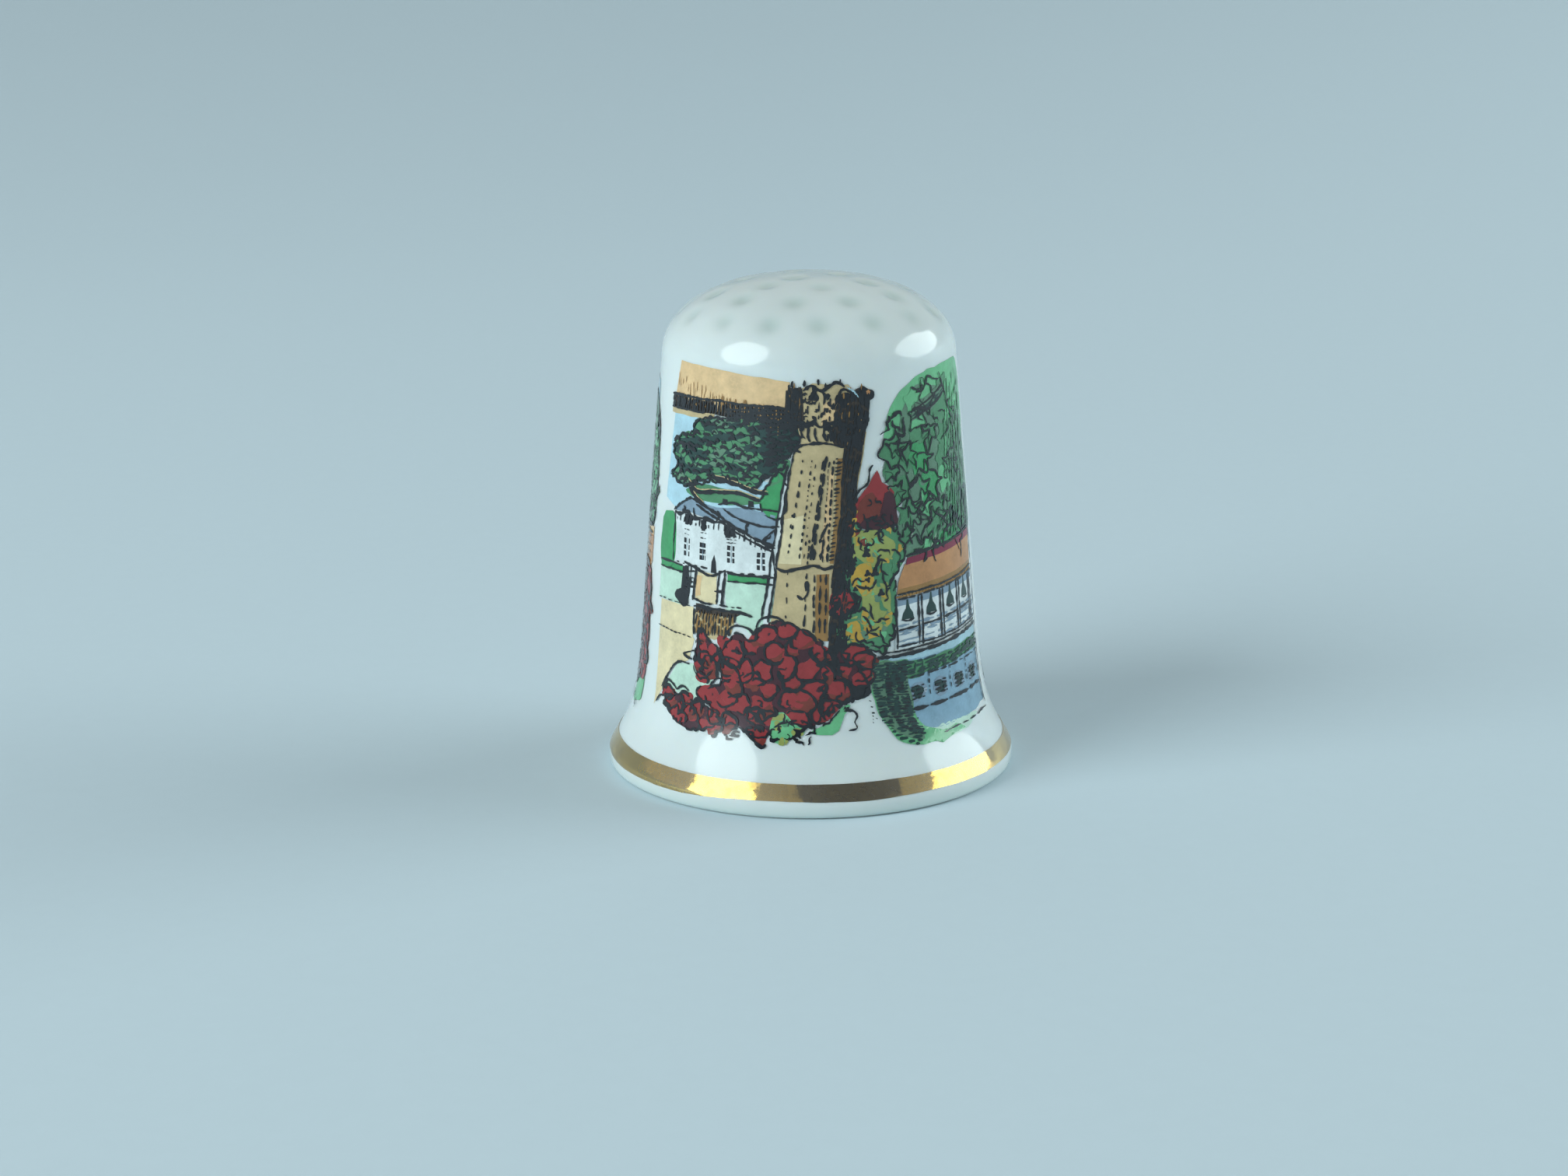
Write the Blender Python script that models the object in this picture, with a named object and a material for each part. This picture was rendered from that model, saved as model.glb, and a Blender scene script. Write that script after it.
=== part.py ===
"""A souvenir thimble in glazed bone china, standing on its foot ring.

The body is one slip-cast shell: a tapered wall that flares into a skirt, a low dome pressed with
dimples, and a hollow for the finger. A gilt line runs round the skirt just above the lip, and
four transfer prints lie fired onto the wall between the skirt and the shoulder.

Lengths below are millimetres, and become metres when a mesh is made. +Z is up, the origin is the
centre of the foot ring, and the front print faces -Y.
"""

import math

import bmesh
import bpy
from mathutils import Matrix, Vector

MM = 0.001

# Outside of the body
HEIGHT = 25.6
LIP_RADIUS = 10.6
LIP_HEIGHT = 0.82  # where the skirt is widest
FOOT_FILLET = 0.32
SHOULDER_HEIGHT = 21.56  # where the wall turns into the dome
WALL_RADIUS_LOW = 9.19  # the straight taper, carried down to the lip
WALL_RADIUS_HIGH = 7.51
WALL_BULGE = 0.05
FLARE_REACH = 1.96  # how far up the skirt's flare dies away
FLARE_POWER = 1.284
DOME_RISE_POWER = 2.065  # a superellipse: 2 would be a plain ellipse
DOME_WIDTH_POWER = 2.423

# Inside of the body
WALL = 1.7
INNER_FLARE = 0.9  # how far the hollow opens out towards the mouth
INNER_FLARE_REACH = 1.8
INNER_FILLET = 0.25
INNER_SHOULDER_HEIGHT = 20.4
CROWN = 1.9  # thickness at the top of the dome

# Dimples: ring radius and count, from the crown outwards
DIMPLE_RINGS = ((1.5, 3), (3.3, 7), (4.95, 11), (6.4, 15))
DIMPLE_WIDTH = 1.3
DIMPLE_DEPTH = 0.12
DIMPLE_SIDES = 10
DIMPLE_BALL_RINGS = 18

# Gilt line and prints: skins that follow the wall just outside it
GILT_LOW = 0.86
GILT_HIGH = 1.68
GILT_GAP = 0.02
GILT_THICKNESS = 0.03
GILT_ROWS = 3
PRINT_GAP = 0.02
PRINT_THICKNESS = 0.04
PRINT_LOW = 3.2
PRINT_HIGH = 21.3
PRINT_ROWS = 9
# Each print's two side edges, counted in facets of the body from the -Y side, positive towards +X
PRINT_FACETS = {
    "front_print": (-11, 5),
    "right_print": (6, 14),
    "back_print": (17, 33),
    "left_print": (35, 51),
}

FACETS = 64  # round the axis
FACET = 2 * math.pi / FACETS
FOOT_ROWS = 3
SKIRT_ROWS = 9
SKIRT_TOP = 5.5
TAPER_ROWS = 5
DOME_ROWS = 12
INNER_ROWS = 8
INNER_DOME_ROWS = 5
MERGE = 1e-6  # metres
Z_AXIS = Vector((0, 0, 1))


def clear_scene():
    """Removes what the file opened with."""
    for thing in list(bpy.data.objects):
        bpy.data.objects.remove(thing, do_unlink=True)


def steps(low, high, count):
    """count + 1 evenly spaced values from low to high."""
    return [low + (high - low) * i / count for i in range(count + 1)]


def taper_radius(z):
    """The wall without its flare: a straight taper, very slightly full in the middle."""
    share = (z - LIP_HEIGHT) / (SHOULDER_HEIGHT - LIP_HEIGHT)
    straight = WALL_RADIUS_LOW + (WALL_RADIUS_HIGH - WALL_RADIUS_LOW) * share
    return straight + WALL_BULGE * 4 * share * (1 - share)


def outer_radius(z):
    """The outside of the body from the lip to the shoulder: the taper plus the skirt's flare."""
    flare = LIP_RADIUS - WALL_RADIUS_LOW
    fade = abs((z - LIP_HEIGHT) / FLARE_REACH) ** FLARE_POWER
    return taper_radius(z) + flare * math.exp(-fade)


def inner_radius(z):
    """The hollow, from the mouth to its own shoulder."""
    flare = INNER_FLARE * math.exp(-((z / INNER_FLARE_REACH) ** 2))
    return taper_radius(z) - WALL + flare


def dome_point(turn, shoulder_radius, shoulder_height, rise):
    """A point (radius, height) on a dome, from its shoulder at turn 0 to its crown at a right angle."""
    radius = shoulder_radius * max(0.0, math.cos(turn)) ** (2 / DOME_WIDTH_POWER)
    height = shoulder_height + rise * math.sin(turn) ** (2 / DOME_RISE_POWER)
    return radius, height


def outer_profile():
    """The outside from the crown down to the foot ring."""
    shoulder = outer_radius(SHOULDER_HEIGHT)
    rise = HEIGHT - SHOULDER_HEIGHT
    turns = steps(math.pi / 2, 0, DOME_ROWS)
    dome = [(0.0, HEIGHT)] + [dome_point(t, shoulder, SHOULDER_HEIGHT, rise) for t in turns[1:]]
    taper = [(outer_radius(z), z) for z in steps(SHOULDER_HEIGHT, SKIRT_TOP, TAPER_ROWS)[1:]]
    skirt = [(outer_radius(z), z) for z in steps(SKIRT_TOP, LIP_HEIGHT, SKIRT_ROWS)[1:]]
    centre = LIP_RADIUS - FOOT_FILLET
    foot = [
        (centre + FOOT_FILLET * math.cos(t), FOOT_FILLET - FOOT_FILLET * math.sin(t))
        for t in steps(0, math.pi / 2, FOOT_ROWS)
    ]
    return dome + taper + skirt + foot


def inner_profile():
    """The hollow, from the foot ring up to its crown."""
    mouth = inner_radius(INNER_FILLET)
    foot = [
        (mouth + INNER_FILLET - INNER_FILLET * math.sin(t), INNER_FILLET - INNER_FILLET * math.cos(t))
        for t in steps(0, math.pi / 2, FOOT_ROWS)
    ]
    wall = [(inner_radius(z), z) for z in steps(INNER_FILLET, INNER_SHOULDER_HEIGHT, INNER_ROWS)[1:]]
    shoulder = inner_radius(INNER_SHOULDER_HEIGHT)
    rise = HEIGHT - CROWN - INNER_SHOULDER_HEIGHT
    turns = steps(0, math.pi / 2, INNER_DOME_ROWS)[1:-1]
    dome = [dome_point(t, shoulder, INNER_SHOULDER_HEIGHT, rise) for t in turns]
    return foot + wall + dome + [(0.0, HEIGHT - CROWN)]


def spun(profile, closed, start=0.0, facets=FACETS):
    """A bmesh of a (radius, height) profile spun about Z by that many facets, from the start angle."""
    bm = bmesh.new()
    line = [bm.verts.new((r * MM, 0, z * MM)) for r, z in profile]
    pairs = list(zip(line, line[1:])) + ([(line[-1], line[0])] if closed else [])
    edges = [bm.edges.new(pair) for pair in pairs]
    bmesh.ops.rotate(bm, verts=line, cent=(0, 0, 0), matrix=Matrix.Rotation(start, 3, "Z"))
    whole = facets == FACETS
    section = bmesh.ops.contextual_create(bm, geom=edges)["faces"] if closed and not whole else []
    bmesh.ops.spin(
        bm,
        geom=section or line + edges,
        cent=(0, 0, 0),
        axis=Z_AXIS,
        angle=facets * FACET,
        steps=facets,
        use_merge=whole,
    )
    bmesh.ops.remove_doubles(bm, verts=bm.verts, dist=MERGE)
    bmesh.ops.recalc_face_normals(bm, faces=bm.faces)
    return bm


def add_object(name, bm, material=None):
    """Turns a bmesh into a named, smooth-shaded object with its material."""
    mesh = bpy.data.meshes.new(name)
    bm.to_mesh(mesh)
    bm.free()
    mesh.shade_smooth()
    mesh.set_sharp_from_angle(angle=math.radians(40))
    if material:
        mesh.materials.append(material)
    thing = bpy.data.objects.new(name, mesh)
    bpy.context.scene.collection.objects.link(thing)
    return thing


def make_material(name, color, roughness, metallic=0.0, coat=0.0):
    """A Principled material."""
    material = bpy.data.materials.new(name)
    material.use_nodes = True
    shader = material.node_tree.nodes["Principled BSDF"]
    shader.inputs["Base Color"].default_value = (*color, 1)
    shader.inputs["Roughness"].default_value = roughness
    shader.inputs["Metallic"].default_value = metallic
    shader.inputs["Coat Weight"].default_value = coat
    return material


def bone_china():
    return make_material("glazed bone china", (0.78, 0.84, 0.84), 0.08, coat=0.3)


def bright_gold():
    return make_material("bright gold", (0.72, 0.58, 0.26), 0.12, metallic=1.0)


def print_enamel(name, color):
    return make_material(name, color, 0.15, coat=0.3)


def dome_surface(radius):
    """The point of the dome at that radius, and its outward normal, in the plane of the profile."""
    shoulder = outer_radius(SHOULDER_HEIGHT)
    turn = math.acos((radius / shoulder) ** (DOME_WIDTH_POWER / 2))
    rise = HEIGHT - SHOULDER_HEIGHT
    r, z = dome_point(turn, shoulder, SHOULDER_HEIGHT, rise)
    nudge = 0.001
    r_next, z_next = dome_point(turn + nudge, shoulder, SHOULDER_HEIGHT, rise)
    along = Vector((r_next - r, 0, z_next - z)).normalized()
    return Vector((r, 0, z)), Vector((along.z, 0, -along.x))


def dimple_cutter():
    """All the balls that press the dimples into the dome, as one cutter."""
    half = DIMPLE_WIDTH / 2
    ball = (half**2 + DIMPLE_DEPTH**2) / (2 * DIMPLE_DEPTH)
    bm = bmesh.new()
    for ring, (radius, count) in enumerate(DIMPLE_RINGS):
        point, normal = dome_surface(radius)
        centre = Matrix.Translation((point + normal * (ball - DIMPLE_DEPTH)) * MM)
        # The ball's pole faces down into the dome, so that the dimple's rim is a clean round
        lean = normal.to_track_quat("Z", "Y").to_matrix().to_4x4()
        for i in range(count):
            # Rings are turned by half a space against each other, so that dimples stagger
            turn = Matrix.Rotation(2 * math.pi * (i + ring / 2) / count, 4, "Z")
            bmesh.ops.create_uvsphere(
                bm,
                u_segments=DIMPLE_SIDES,
                v_segments=DIMPLE_BALL_RINGS,
                radius=ball * MM,
                matrix=turn @ centre @ lean,
            )
    cutter = add_object("dimple_cutter", bm)
    cutter.hide_render = True
    cutter.display_type = "WIRE"
    return cutter


def make_body():
    """The slip-cast china shell with its dimpled dome."""
    bm = spun(outer_profile() + inner_profile(), closed=False)
    body = add_object("china_body", bm, bone_china())
    cut = body.modifiers.new("dimples", "BOOLEAN")
    cut.operation = "DIFFERENCE"
    cut.object = dimple_cutter()
    return body


def skin_profile(low, high, rows, gap, thickness):
    """A closed loop that follows the wall from low to high, standing off it by the gap."""
    heights = steps(low, high, rows)
    near = [(outer_radius(z) + gap, z) for z in heights]
    far = [(outer_radius(z) + gap + thickness, z) for z in reversed(heights)]
    return near + far


def make_gilt_line():
    """The painted gold band round the skirt."""
    profile = skin_profile(GILT_LOW, GILT_HIGH, GILT_ROWS, GILT_GAP, GILT_THICKNESS)
    return add_object("gilt_line", spun(profile, closed=True), bright_gold())


def make_print(name, color):
    """One transfer print: a thin curved patch over whole facets of the wall."""
    first, last = PRINT_FACETS[name]
    profile = skin_profile(PRINT_LOW, PRINT_HIGH, PRINT_ROWS, PRINT_GAP, PRINT_THICKNESS)
    start = first * FACET - math.pi / 2
    bm = spun(profile, closed=True, start=start, facets=last - first)
    return add_object(name, bm, print_enamel(f"{name} enamel", color))


def main():
    clear_scene()
    make_body()
    make_gilt_line()
    make_print("front_print", (0.42, 0.28, 0.20))
    make_print("right_print", (0.16, 0.30, 0.24))
    make_print("back_print", (0.35, 0.42, 0.34))
    make_print("left_print", (0.30, 0.30, 0.22))


main()
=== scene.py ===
"""Looks of a souvenir thimble: a glazed bone-china body, a gilt line and four enamel transfers.

Each transfer is built as it is printed. Every enamel colour is a screen of its own, a piece of thin
raised enamel laid round the wall, and the black key of pen lines goes on last. The views are drawn
flat in millimetres, across the wall from the -Y side and up from the foot, and then wrapped.
"""

import math
import random
from collections import defaultdict

import bmesh
import bpy
import numpy as np
from mathutils import Matrix, Vector, noise
from mathutils.geometry import interpolate_bezier


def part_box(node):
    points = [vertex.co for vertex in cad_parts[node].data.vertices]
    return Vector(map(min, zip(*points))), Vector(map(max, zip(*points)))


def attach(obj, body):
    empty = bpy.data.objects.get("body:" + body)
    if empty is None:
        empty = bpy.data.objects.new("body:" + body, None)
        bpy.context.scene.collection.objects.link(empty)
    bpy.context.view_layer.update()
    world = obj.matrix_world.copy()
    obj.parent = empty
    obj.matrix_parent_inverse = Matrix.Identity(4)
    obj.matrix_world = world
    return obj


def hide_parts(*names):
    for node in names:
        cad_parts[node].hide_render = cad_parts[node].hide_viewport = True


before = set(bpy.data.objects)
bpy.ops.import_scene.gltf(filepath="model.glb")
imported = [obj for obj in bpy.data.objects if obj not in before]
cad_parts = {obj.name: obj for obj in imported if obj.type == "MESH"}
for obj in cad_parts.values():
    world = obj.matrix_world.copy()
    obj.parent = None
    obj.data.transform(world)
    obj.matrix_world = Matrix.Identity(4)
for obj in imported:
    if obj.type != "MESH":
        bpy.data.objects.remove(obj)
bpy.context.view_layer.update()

bl_info = {
    "name": "Bone China Thimble",
    "version": (1, 0, 0),
    "blender": (4, 5, 0),
    "location": "3D View > Sidebar > Thimble",
    "description": "Builds a souvenir thimble: glazed body, gilt line and enamel transfers",
    "category": "Add Mesh",
}

MM = 0.001

# The body's outline, in millimetres. Its height and lip come from the frame.
BODY_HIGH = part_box("china_body")[1] / MM
GILT_LOW, GILT_HIGH = (corner.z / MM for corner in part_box("gilt_line"))
HEIGHT = BODY_HIGH.z
LIP_RADIUS = BODY_HIGH.x
LIP_HEIGHT = 0.82
FOOT_FILLET = 0.32
SHOULDER_HEIGHT = 21.56
WALL_RADIUS_LOW = 9.19
WALL_RADIUS_HIGH = 7.51
WALL_BULGE = 0.05
FLARE_REACH = 1.96
FLARE_POWER = 1.284
DOME_RISE_POWER = 2.065
DOME_WIDTH_POWER = 2.423
WALL = 1.7
INNER_FLARE = 0.9
INNER_FLARE_REACH = 1.8
INNER_FILLET = 0.25
INNER_SHOULDER_HEIGHT = 20.4
CROWN = 1.9
DIMPLE_RINGS = ((1.5, 3), (3.3, 7), (4.95, 11), (6.4, 15))  # radius of a ring, and its dimples

# How strongly the greenish pooled-glaze tint darkens the lip, as painted shade towards the foot, and a
# dimple, as pooled glaze and painted shade in the hollow
LIP_PAINTED_SHADE = 0.6
DIMPLE_POOLING_AND_SHADE = 0.5

# Mesh density. The skirt has closer rows than the taper above it.
SEGMENTS = 256
DOME_ROWS = 62
TAPER_ROWS = 34
SKIRT_TOP = 5.5
SKIRT_ROWS = 34
FOOT_ROWS = 5
INNER_ROWS = 30
INNER_DOME_ROWS = 16
GILT_SEGMENTS = 384
GILT_ROWS = 8

# Where round the foot the gold ran down, in degrees from +X, and how far to either side
SAG_PLACE = -147
SAG_REACH = 24

# The transfers are drawn at this radius, so that a millimetre across is this angle round the wall
PRINT_RADIUS = 8.3
FIRST_LIFT = 0.012  # height of the first enamel over the glaze
LAYER = 0.005  # each enamel on top of another is that much higher
ENAMEL = 0.004  # thickness of one enamel
HAIR = 0.00007  # enamels at one level, and areas that lap, lie this far apart, so that none flicker
LAP_TURNS = 20  # areas take turns at so many hairs of height
KEY_LAYER = 10  # the key is printed last, over everything
CELL = 0.4  # washes are cut into cells this wide, so that they follow the wall
OUTLINE_STEP = 0.4  # spacing of the points along a wash's edge
LINE_STEP = 0.13  # spacing of the points along a pen line
BLOB_POINTS = 22  # points round a flower head
ROW_RISE = 0.87  # scattered rows lie this much closer together than the places in a row

# Studio
LIGHT_DISTANCE = 900.0
FLOOR_RADIUS = 250.0
SWEEP_RADIUS = 2000.0
SWEEP_DEGREES = 40
ROOM_LIGHT = "#E6F4F5"
ROOM_SIDE_STRENGTH = 0.58
ROOM_TOP_STRENGTH = 0.27
FLOOR_GAP = 0.02  # the paper lies this far under the foot ring

# Camera: its lens, its distance in front and height, and how far it is turned, lowered and rolled
CAMERA_LENS = 60.7
CAMERA_DISTANCE = 133.9
CAMERA_HEIGHT = 43.0
CAMERA_TURN = 0.58
CAMERA_DROP = 14.2
CAMERA_ROLL = -0.4

# Enamel colours: label, sRGB hex at full strength
ENAMELS = {
    "ochre": ("Ochre", "#EDC897"),
    "stone": ("Stone", "#CFB98E"),
    "cream": ("Cream", "#EDDCB2"),
    "umber": ("Umber", "#A27A48"),
    "sepia": ("Sepia", "#453B35"),
    "sky": ("Sky blue", "#B9DDEC"),
    "slate": ("Slate blue", "#899FB2"),
    "pool": ("Pool blue", "#8DB0C6"),
    "mist": ("Mist blue", "#AFD2DF"),
    "mint": ("Mint green", "#CBE9D6"),
    "sprig": ("Sprig green", "#74C18C"),
    "grass": ("Grass green", "#46A066"),
    "leaf": ("Leaf green", "#558F68"),
    "moss": ("Moss green", "#688D74"),
    "pine": ("Pine green", "#2C4643"),
    "olive": ("Olive", "#A3AC62"),
    "marigold": ("Marigold", "#CDA446"),
    "lilac": ("Lilac", "#9C8CC0"),
    "terracotta": ("Terracotta", "#C88F60"),
    "maroon": ("Maroon", "#8A3149"),
    "rose": ("Rose red", "#A0393C"),
    "brick": ("Brick red", "#7E3B33"),
    "wine": ("Wine", "#4C2A33"),
    "white": ("White relief", "#E4EBEC"),
    "key": ("Key black", "#2A2C31"),
}


def size_property(label, description, default_mm, low_mm, high_mm):
    """A length that is kept in metres and shown in the scene's units."""
    return bpy.props.FloatProperty(
        name=label,
        description=description,
        default=default_mm * MM,
        min=low_mm * MM,
        max=high_mm * MM,
        precision=5,
        unit="LENGTH",
        subtype="DISTANCE",
    )


def to_linear(hex_colour):
    """An sRGB hex value as linear red, green and blue."""
    channels = [int(hex_colour[i : i + 2], 16) / 255 for i in (1, 3, 5)]
    return [c / 12.92 if c <= 0.04045 else ((c + 0.055) / 1.055) ** 2.4 for c in channels]


def colour_property(label, hex_colour):
    """A colour that is kept as linear light."""
    return bpy.props.FloatVectorProperty(
        name=label,
        description=f"Colour of the {label.lower()}",
        default=to_linear(hex_colour),
        min=0.0,
        max=1.0,
        subtype="COLOR",
    )


class ThimbleSizes(bpy.types.PropertyGroup):
    """Sizes of the body's details, the gilt line and the pen."""

    dimple_width: size_property("Dimple width", "Width of a dimple in the dome", 1.5, 0.5, 2.0)
    dimple_depth: size_property("Dimple depth", "Depth of a dimple in the dome", 0.12, 0.0, 0.3)
    gilt_thickness: size_property("Gilt thickness", "Thickness of the gold", 0.012, 0.002, 0.03)
    gilt_sag: size_property("Gilt sag", "How far the gold ran down at one place", 0.36, 0.0, 0.5)
    pen_width: size_property("Pen width", "Width of the key's pen lines", 0.14, 0.05, 0.4)
    soft_edge: size_property("Soft edge", "Width over which a wash fades out", 0.1, 0.02, 0.3)


class ThimbleColours(bpy.types.PropertyGroup):
    """Colours of the china, the gold and the stage, and one for each enamel."""

    china: colour_property("Bone china", "#EDF3F2")
    pooled_glaze: colour_property("Pooled glaze and shade", "#BCCFC8")
    foot: colour_property("Bare foot ring", "#DCD8CC")
    gold: colour_property("Bright gold", "#D6AD52")
    paper: colour_property("Stage paper", "#E0EFF8")


for enamel, (enamel_label, enamel_hex) in ENAMELS.items():
    ThimbleColours.__annotations__[enamel] = colour_property(enamel_label, enamel_hex)


def sizes():
    """The scene's sizes."""
    return bpy.context.scene.thimble_sizes


def colours():
    """The scene's colours."""
    return bpy.context.scene.thimble_colours


# ---------------------------------------------------------------------------------------------
# The body's outline
# ---------------------------------------------------------------------------------------------


def steps(low, high, count):
    """count + 1 evenly spaced values from low to high."""
    return [low + (high - low) * i / count for i in range(count + 1)]


def taper_radius(z):
    """The wall without its flare. z is a number or an array, in millimetres."""
    share = (z - LIP_HEIGHT) / (SHOULDER_HEIGHT - LIP_HEIGHT)
    straight = WALL_RADIUS_LOW + (WALL_RADIUS_HIGH - WALL_RADIUS_LOW) * share
    return straight + WALL_BULGE * 4 * share * (1 - share)


def outer_radius(z):
    """The outside from the lip to the shoulder."""
    fade = abs((z - LIP_HEIGHT) / FLARE_REACH) ** FLARE_POWER
    return taper_radius(z) + (LIP_RADIUS - WALL_RADIUS_LOW) * np.exp(-fade)


def inner_radius(z):
    """The hollow, from the mouth to its own shoulder."""
    return taper_radius(z) - WALL + INNER_FLARE * math.exp(-((z / INNER_FLARE_REACH) ** 2))


def dome_point(turn, shoulder_radius, shoulder_height, rise):
    """A point (radius, height) on a dome, from its shoulder at turn 0 to its crown at a right angle."""
    radius = shoulder_radius * max(0.0, math.cos(turn)) ** (2 / DOME_WIDTH_POWER)
    height = shoulder_height + rise * math.sin(turn) ** (2 / DOME_RISE_POWER)
    return radius, height


def outer_profile():
    """The outside from the crown down to the foot ring."""
    shoulder = outer_radius(SHOULDER_HEIGHT)
    rise = HEIGHT - SHOULDER_HEIGHT
    turns = steps(math.pi / 2, 0, DOME_ROWS)[1:]
    dome = [(0.0, HEIGHT)] + [dome_point(t, shoulder, SHOULDER_HEIGHT, rise) for t in turns]
    taper = [(outer_radius(z), z) for z in steps(SHOULDER_HEIGHT, SKIRT_TOP, TAPER_ROWS)[1:]]
    skirt = [(outer_radius(z), z) for z in steps(SKIRT_TOP, LIP_HEIGHT, SKIRT_ROWS)[1:]]
    centre = LIP_RADIUS - FOOT_FILLET
    foot = [
        (centre + FOOT_FILLET * math.cos(t), FOOT_FILLET - FOOT_FILLET * math.sin(t))
        for t in steps(0, math.pi / 2, FOOT_ROWS)
    ]
    return dome + taper + skirt + foot


def inner_profile():
    """The hollow, from the foot ring up to its crown."""
    mouth = inner_radius(INNER_FILLET)
    foot = [
        (mouth + INNER_FILLET - INNER_FILLET * math.sin(t), INNER_FILLET - INNER_FILLET * math.cos(t))
        for t in steps(0, math.pi / 2, FOOT_ROWS)
    ]
    wall = [(inner_radius(z), z) for z in steps(INNER_FILLET, INNER_SHOULDER_HEIGHT, INNER_ROWS)[1:]]
    shoulder = inner_radius(INNER_SHOULDER_HEIGHT)
    rise = HEIGHT - CROWN - INNER_SHOULDER_HEIGHT
    turns = steps(0, math.pi / 2, INNER_DOME_ROWS)[1:-1]
    dome = [dome_point(t, shoulder, INNER_SHOULDER_HEIGHT, rise) for t in turns]
    return foot + wall + dome + [(0.0, HEIGHT - CROWN)]


def spun(profile, segments):
    """A bmesh in millimetres of a (radius, height) profile spun once round Z."""
    bm = bmesh.new()
    line = [bm.verts.new((r, 0, z)) for r, z in profile]
    edges = [bm.edges.new(pair) for pair in zip(line, line[1:])]
    bmesh.ops.spin(
        bm,
        geom=line + edges,
        cent=(0, 0, 0),
        axis=(0, 0, 1),
        angle=math.tau,
        steps=segments,
        use_merge=True,
    )
    bmesh.ops.remove_doubles(bm, verts=bm.verts, dist=1e-4)
    bmesh.ops.recalc_face_normals(bm, faces=bm.faces)
    return bm


def finished(name, mesh, material, node):
    """A piece from a mesh in metres: it rides on the root and stands for its CAD node."""
    mesh.materials.append(material)
    piece = bpy.data.objects.new(name, mesh)
    bpy.context.scene.collection.objects.link(piece)
    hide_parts(node)
    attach(piece, "root")
    return piece


def mesh_from(bm, name):
    """Closes a bmesh in millimetres into a smooth-shaded mesh in metres."""
    bmesh.ops.scale(bm, vec=(MM, MM, MM), verts=bm.verts)
    mesh = bpy.data.meshes.new(name)
    bm.to_mesh(mesh)
    bm.free()
    mesh.shade_smooth()
    return mesh


# ---------------------------------------------------------------------------------------------
# Materials
# ---------------------------------------------------------------------------------------------


def new_material(name):
    """A material with nothing but its Principled shader, and that shader."""
    material = bpy.data.materials.new(name)
    material.use_nodes = True
    return material, material.node_tree.nodes["Principled BSDF"]


def add(material, kind, settings=(), inputs=(), links=()):
    """Adds a node: its own settings, values for its sockets, and links from other nodes' outputs."""
    tree = material.node_tree
    node = tree.nodes.new(kind)
    for key, value in dict(settings).items():
        setattr(node, key, value)
    for key, value in dict(inputs).items():
        node.inputs[key].default_value = value
    for key, output in dict(links).items():
        tree.links.new(output, node.inputs[key])
    return node


def link(material, output, node, socket):
    """Links a node's output to another node's socket."""
    material.node_tree.links.new(output, node.inputs[socket])


def pattern(material, place, size_mm, detail=3.0, roughness=0.55):
    """Noise whose features are about that many millimetres across."""
    inputs = {"Scale": 1 / (size_mm * MM), "Detail": detail, "Roughness": roughness}
    node = add(material, "ShaderNodeTexNoise", inputs=inputs, links={"Vector": place})
    return node.outputs["Fac"]


def ranged(material, value, low, high, to_low=0.0, to_high=1.0):
    """Stretches a value from low..high to another range, without passing its ends."""
    inputs = {"From Min": low, "From Max": high, "To Min": to_low, "To Max": to_high}
    settings = {"interpolation_type": "SMOOTHSTEP"}
    node = add(material, "ShaderNodeMapRange", settings, inputs, {"Value": value})
    return node.outputs["Result"]


def mixed(material, share, first, second):
    """Mixes two colours. Each is a linear colour or another node's output."""
    node = add(material, "ShaderNodeMix", {"data_type": "RGBA"}, links={"Factor": share})
    for socket, colour in (("A", first), ("B", second)):
        target = next(s for s in node.inputs if s.name == socket and s.type == "RGBA")
        if isinstance(colour, bpy.types.NodeSocket):
            material.node_tree.links.new(colour, target)
        else:
            target.default_value = (*colour[:3], 1)
    return next(s for s in node.outputs if s.type == "RGBA")


def product(material, first, second):
    """Multiplies two values."""
    settings = {"operation": "MULTIPLY"}
    return add(material, "ShaderNodeMath", settings, links={0: first, 1: second}).outputs[0]


def scaled(colour, factor):
    """A linear colour made lighter or darker."""
    return [min(1.0, c * factor) for c in colour[:3]]


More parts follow.
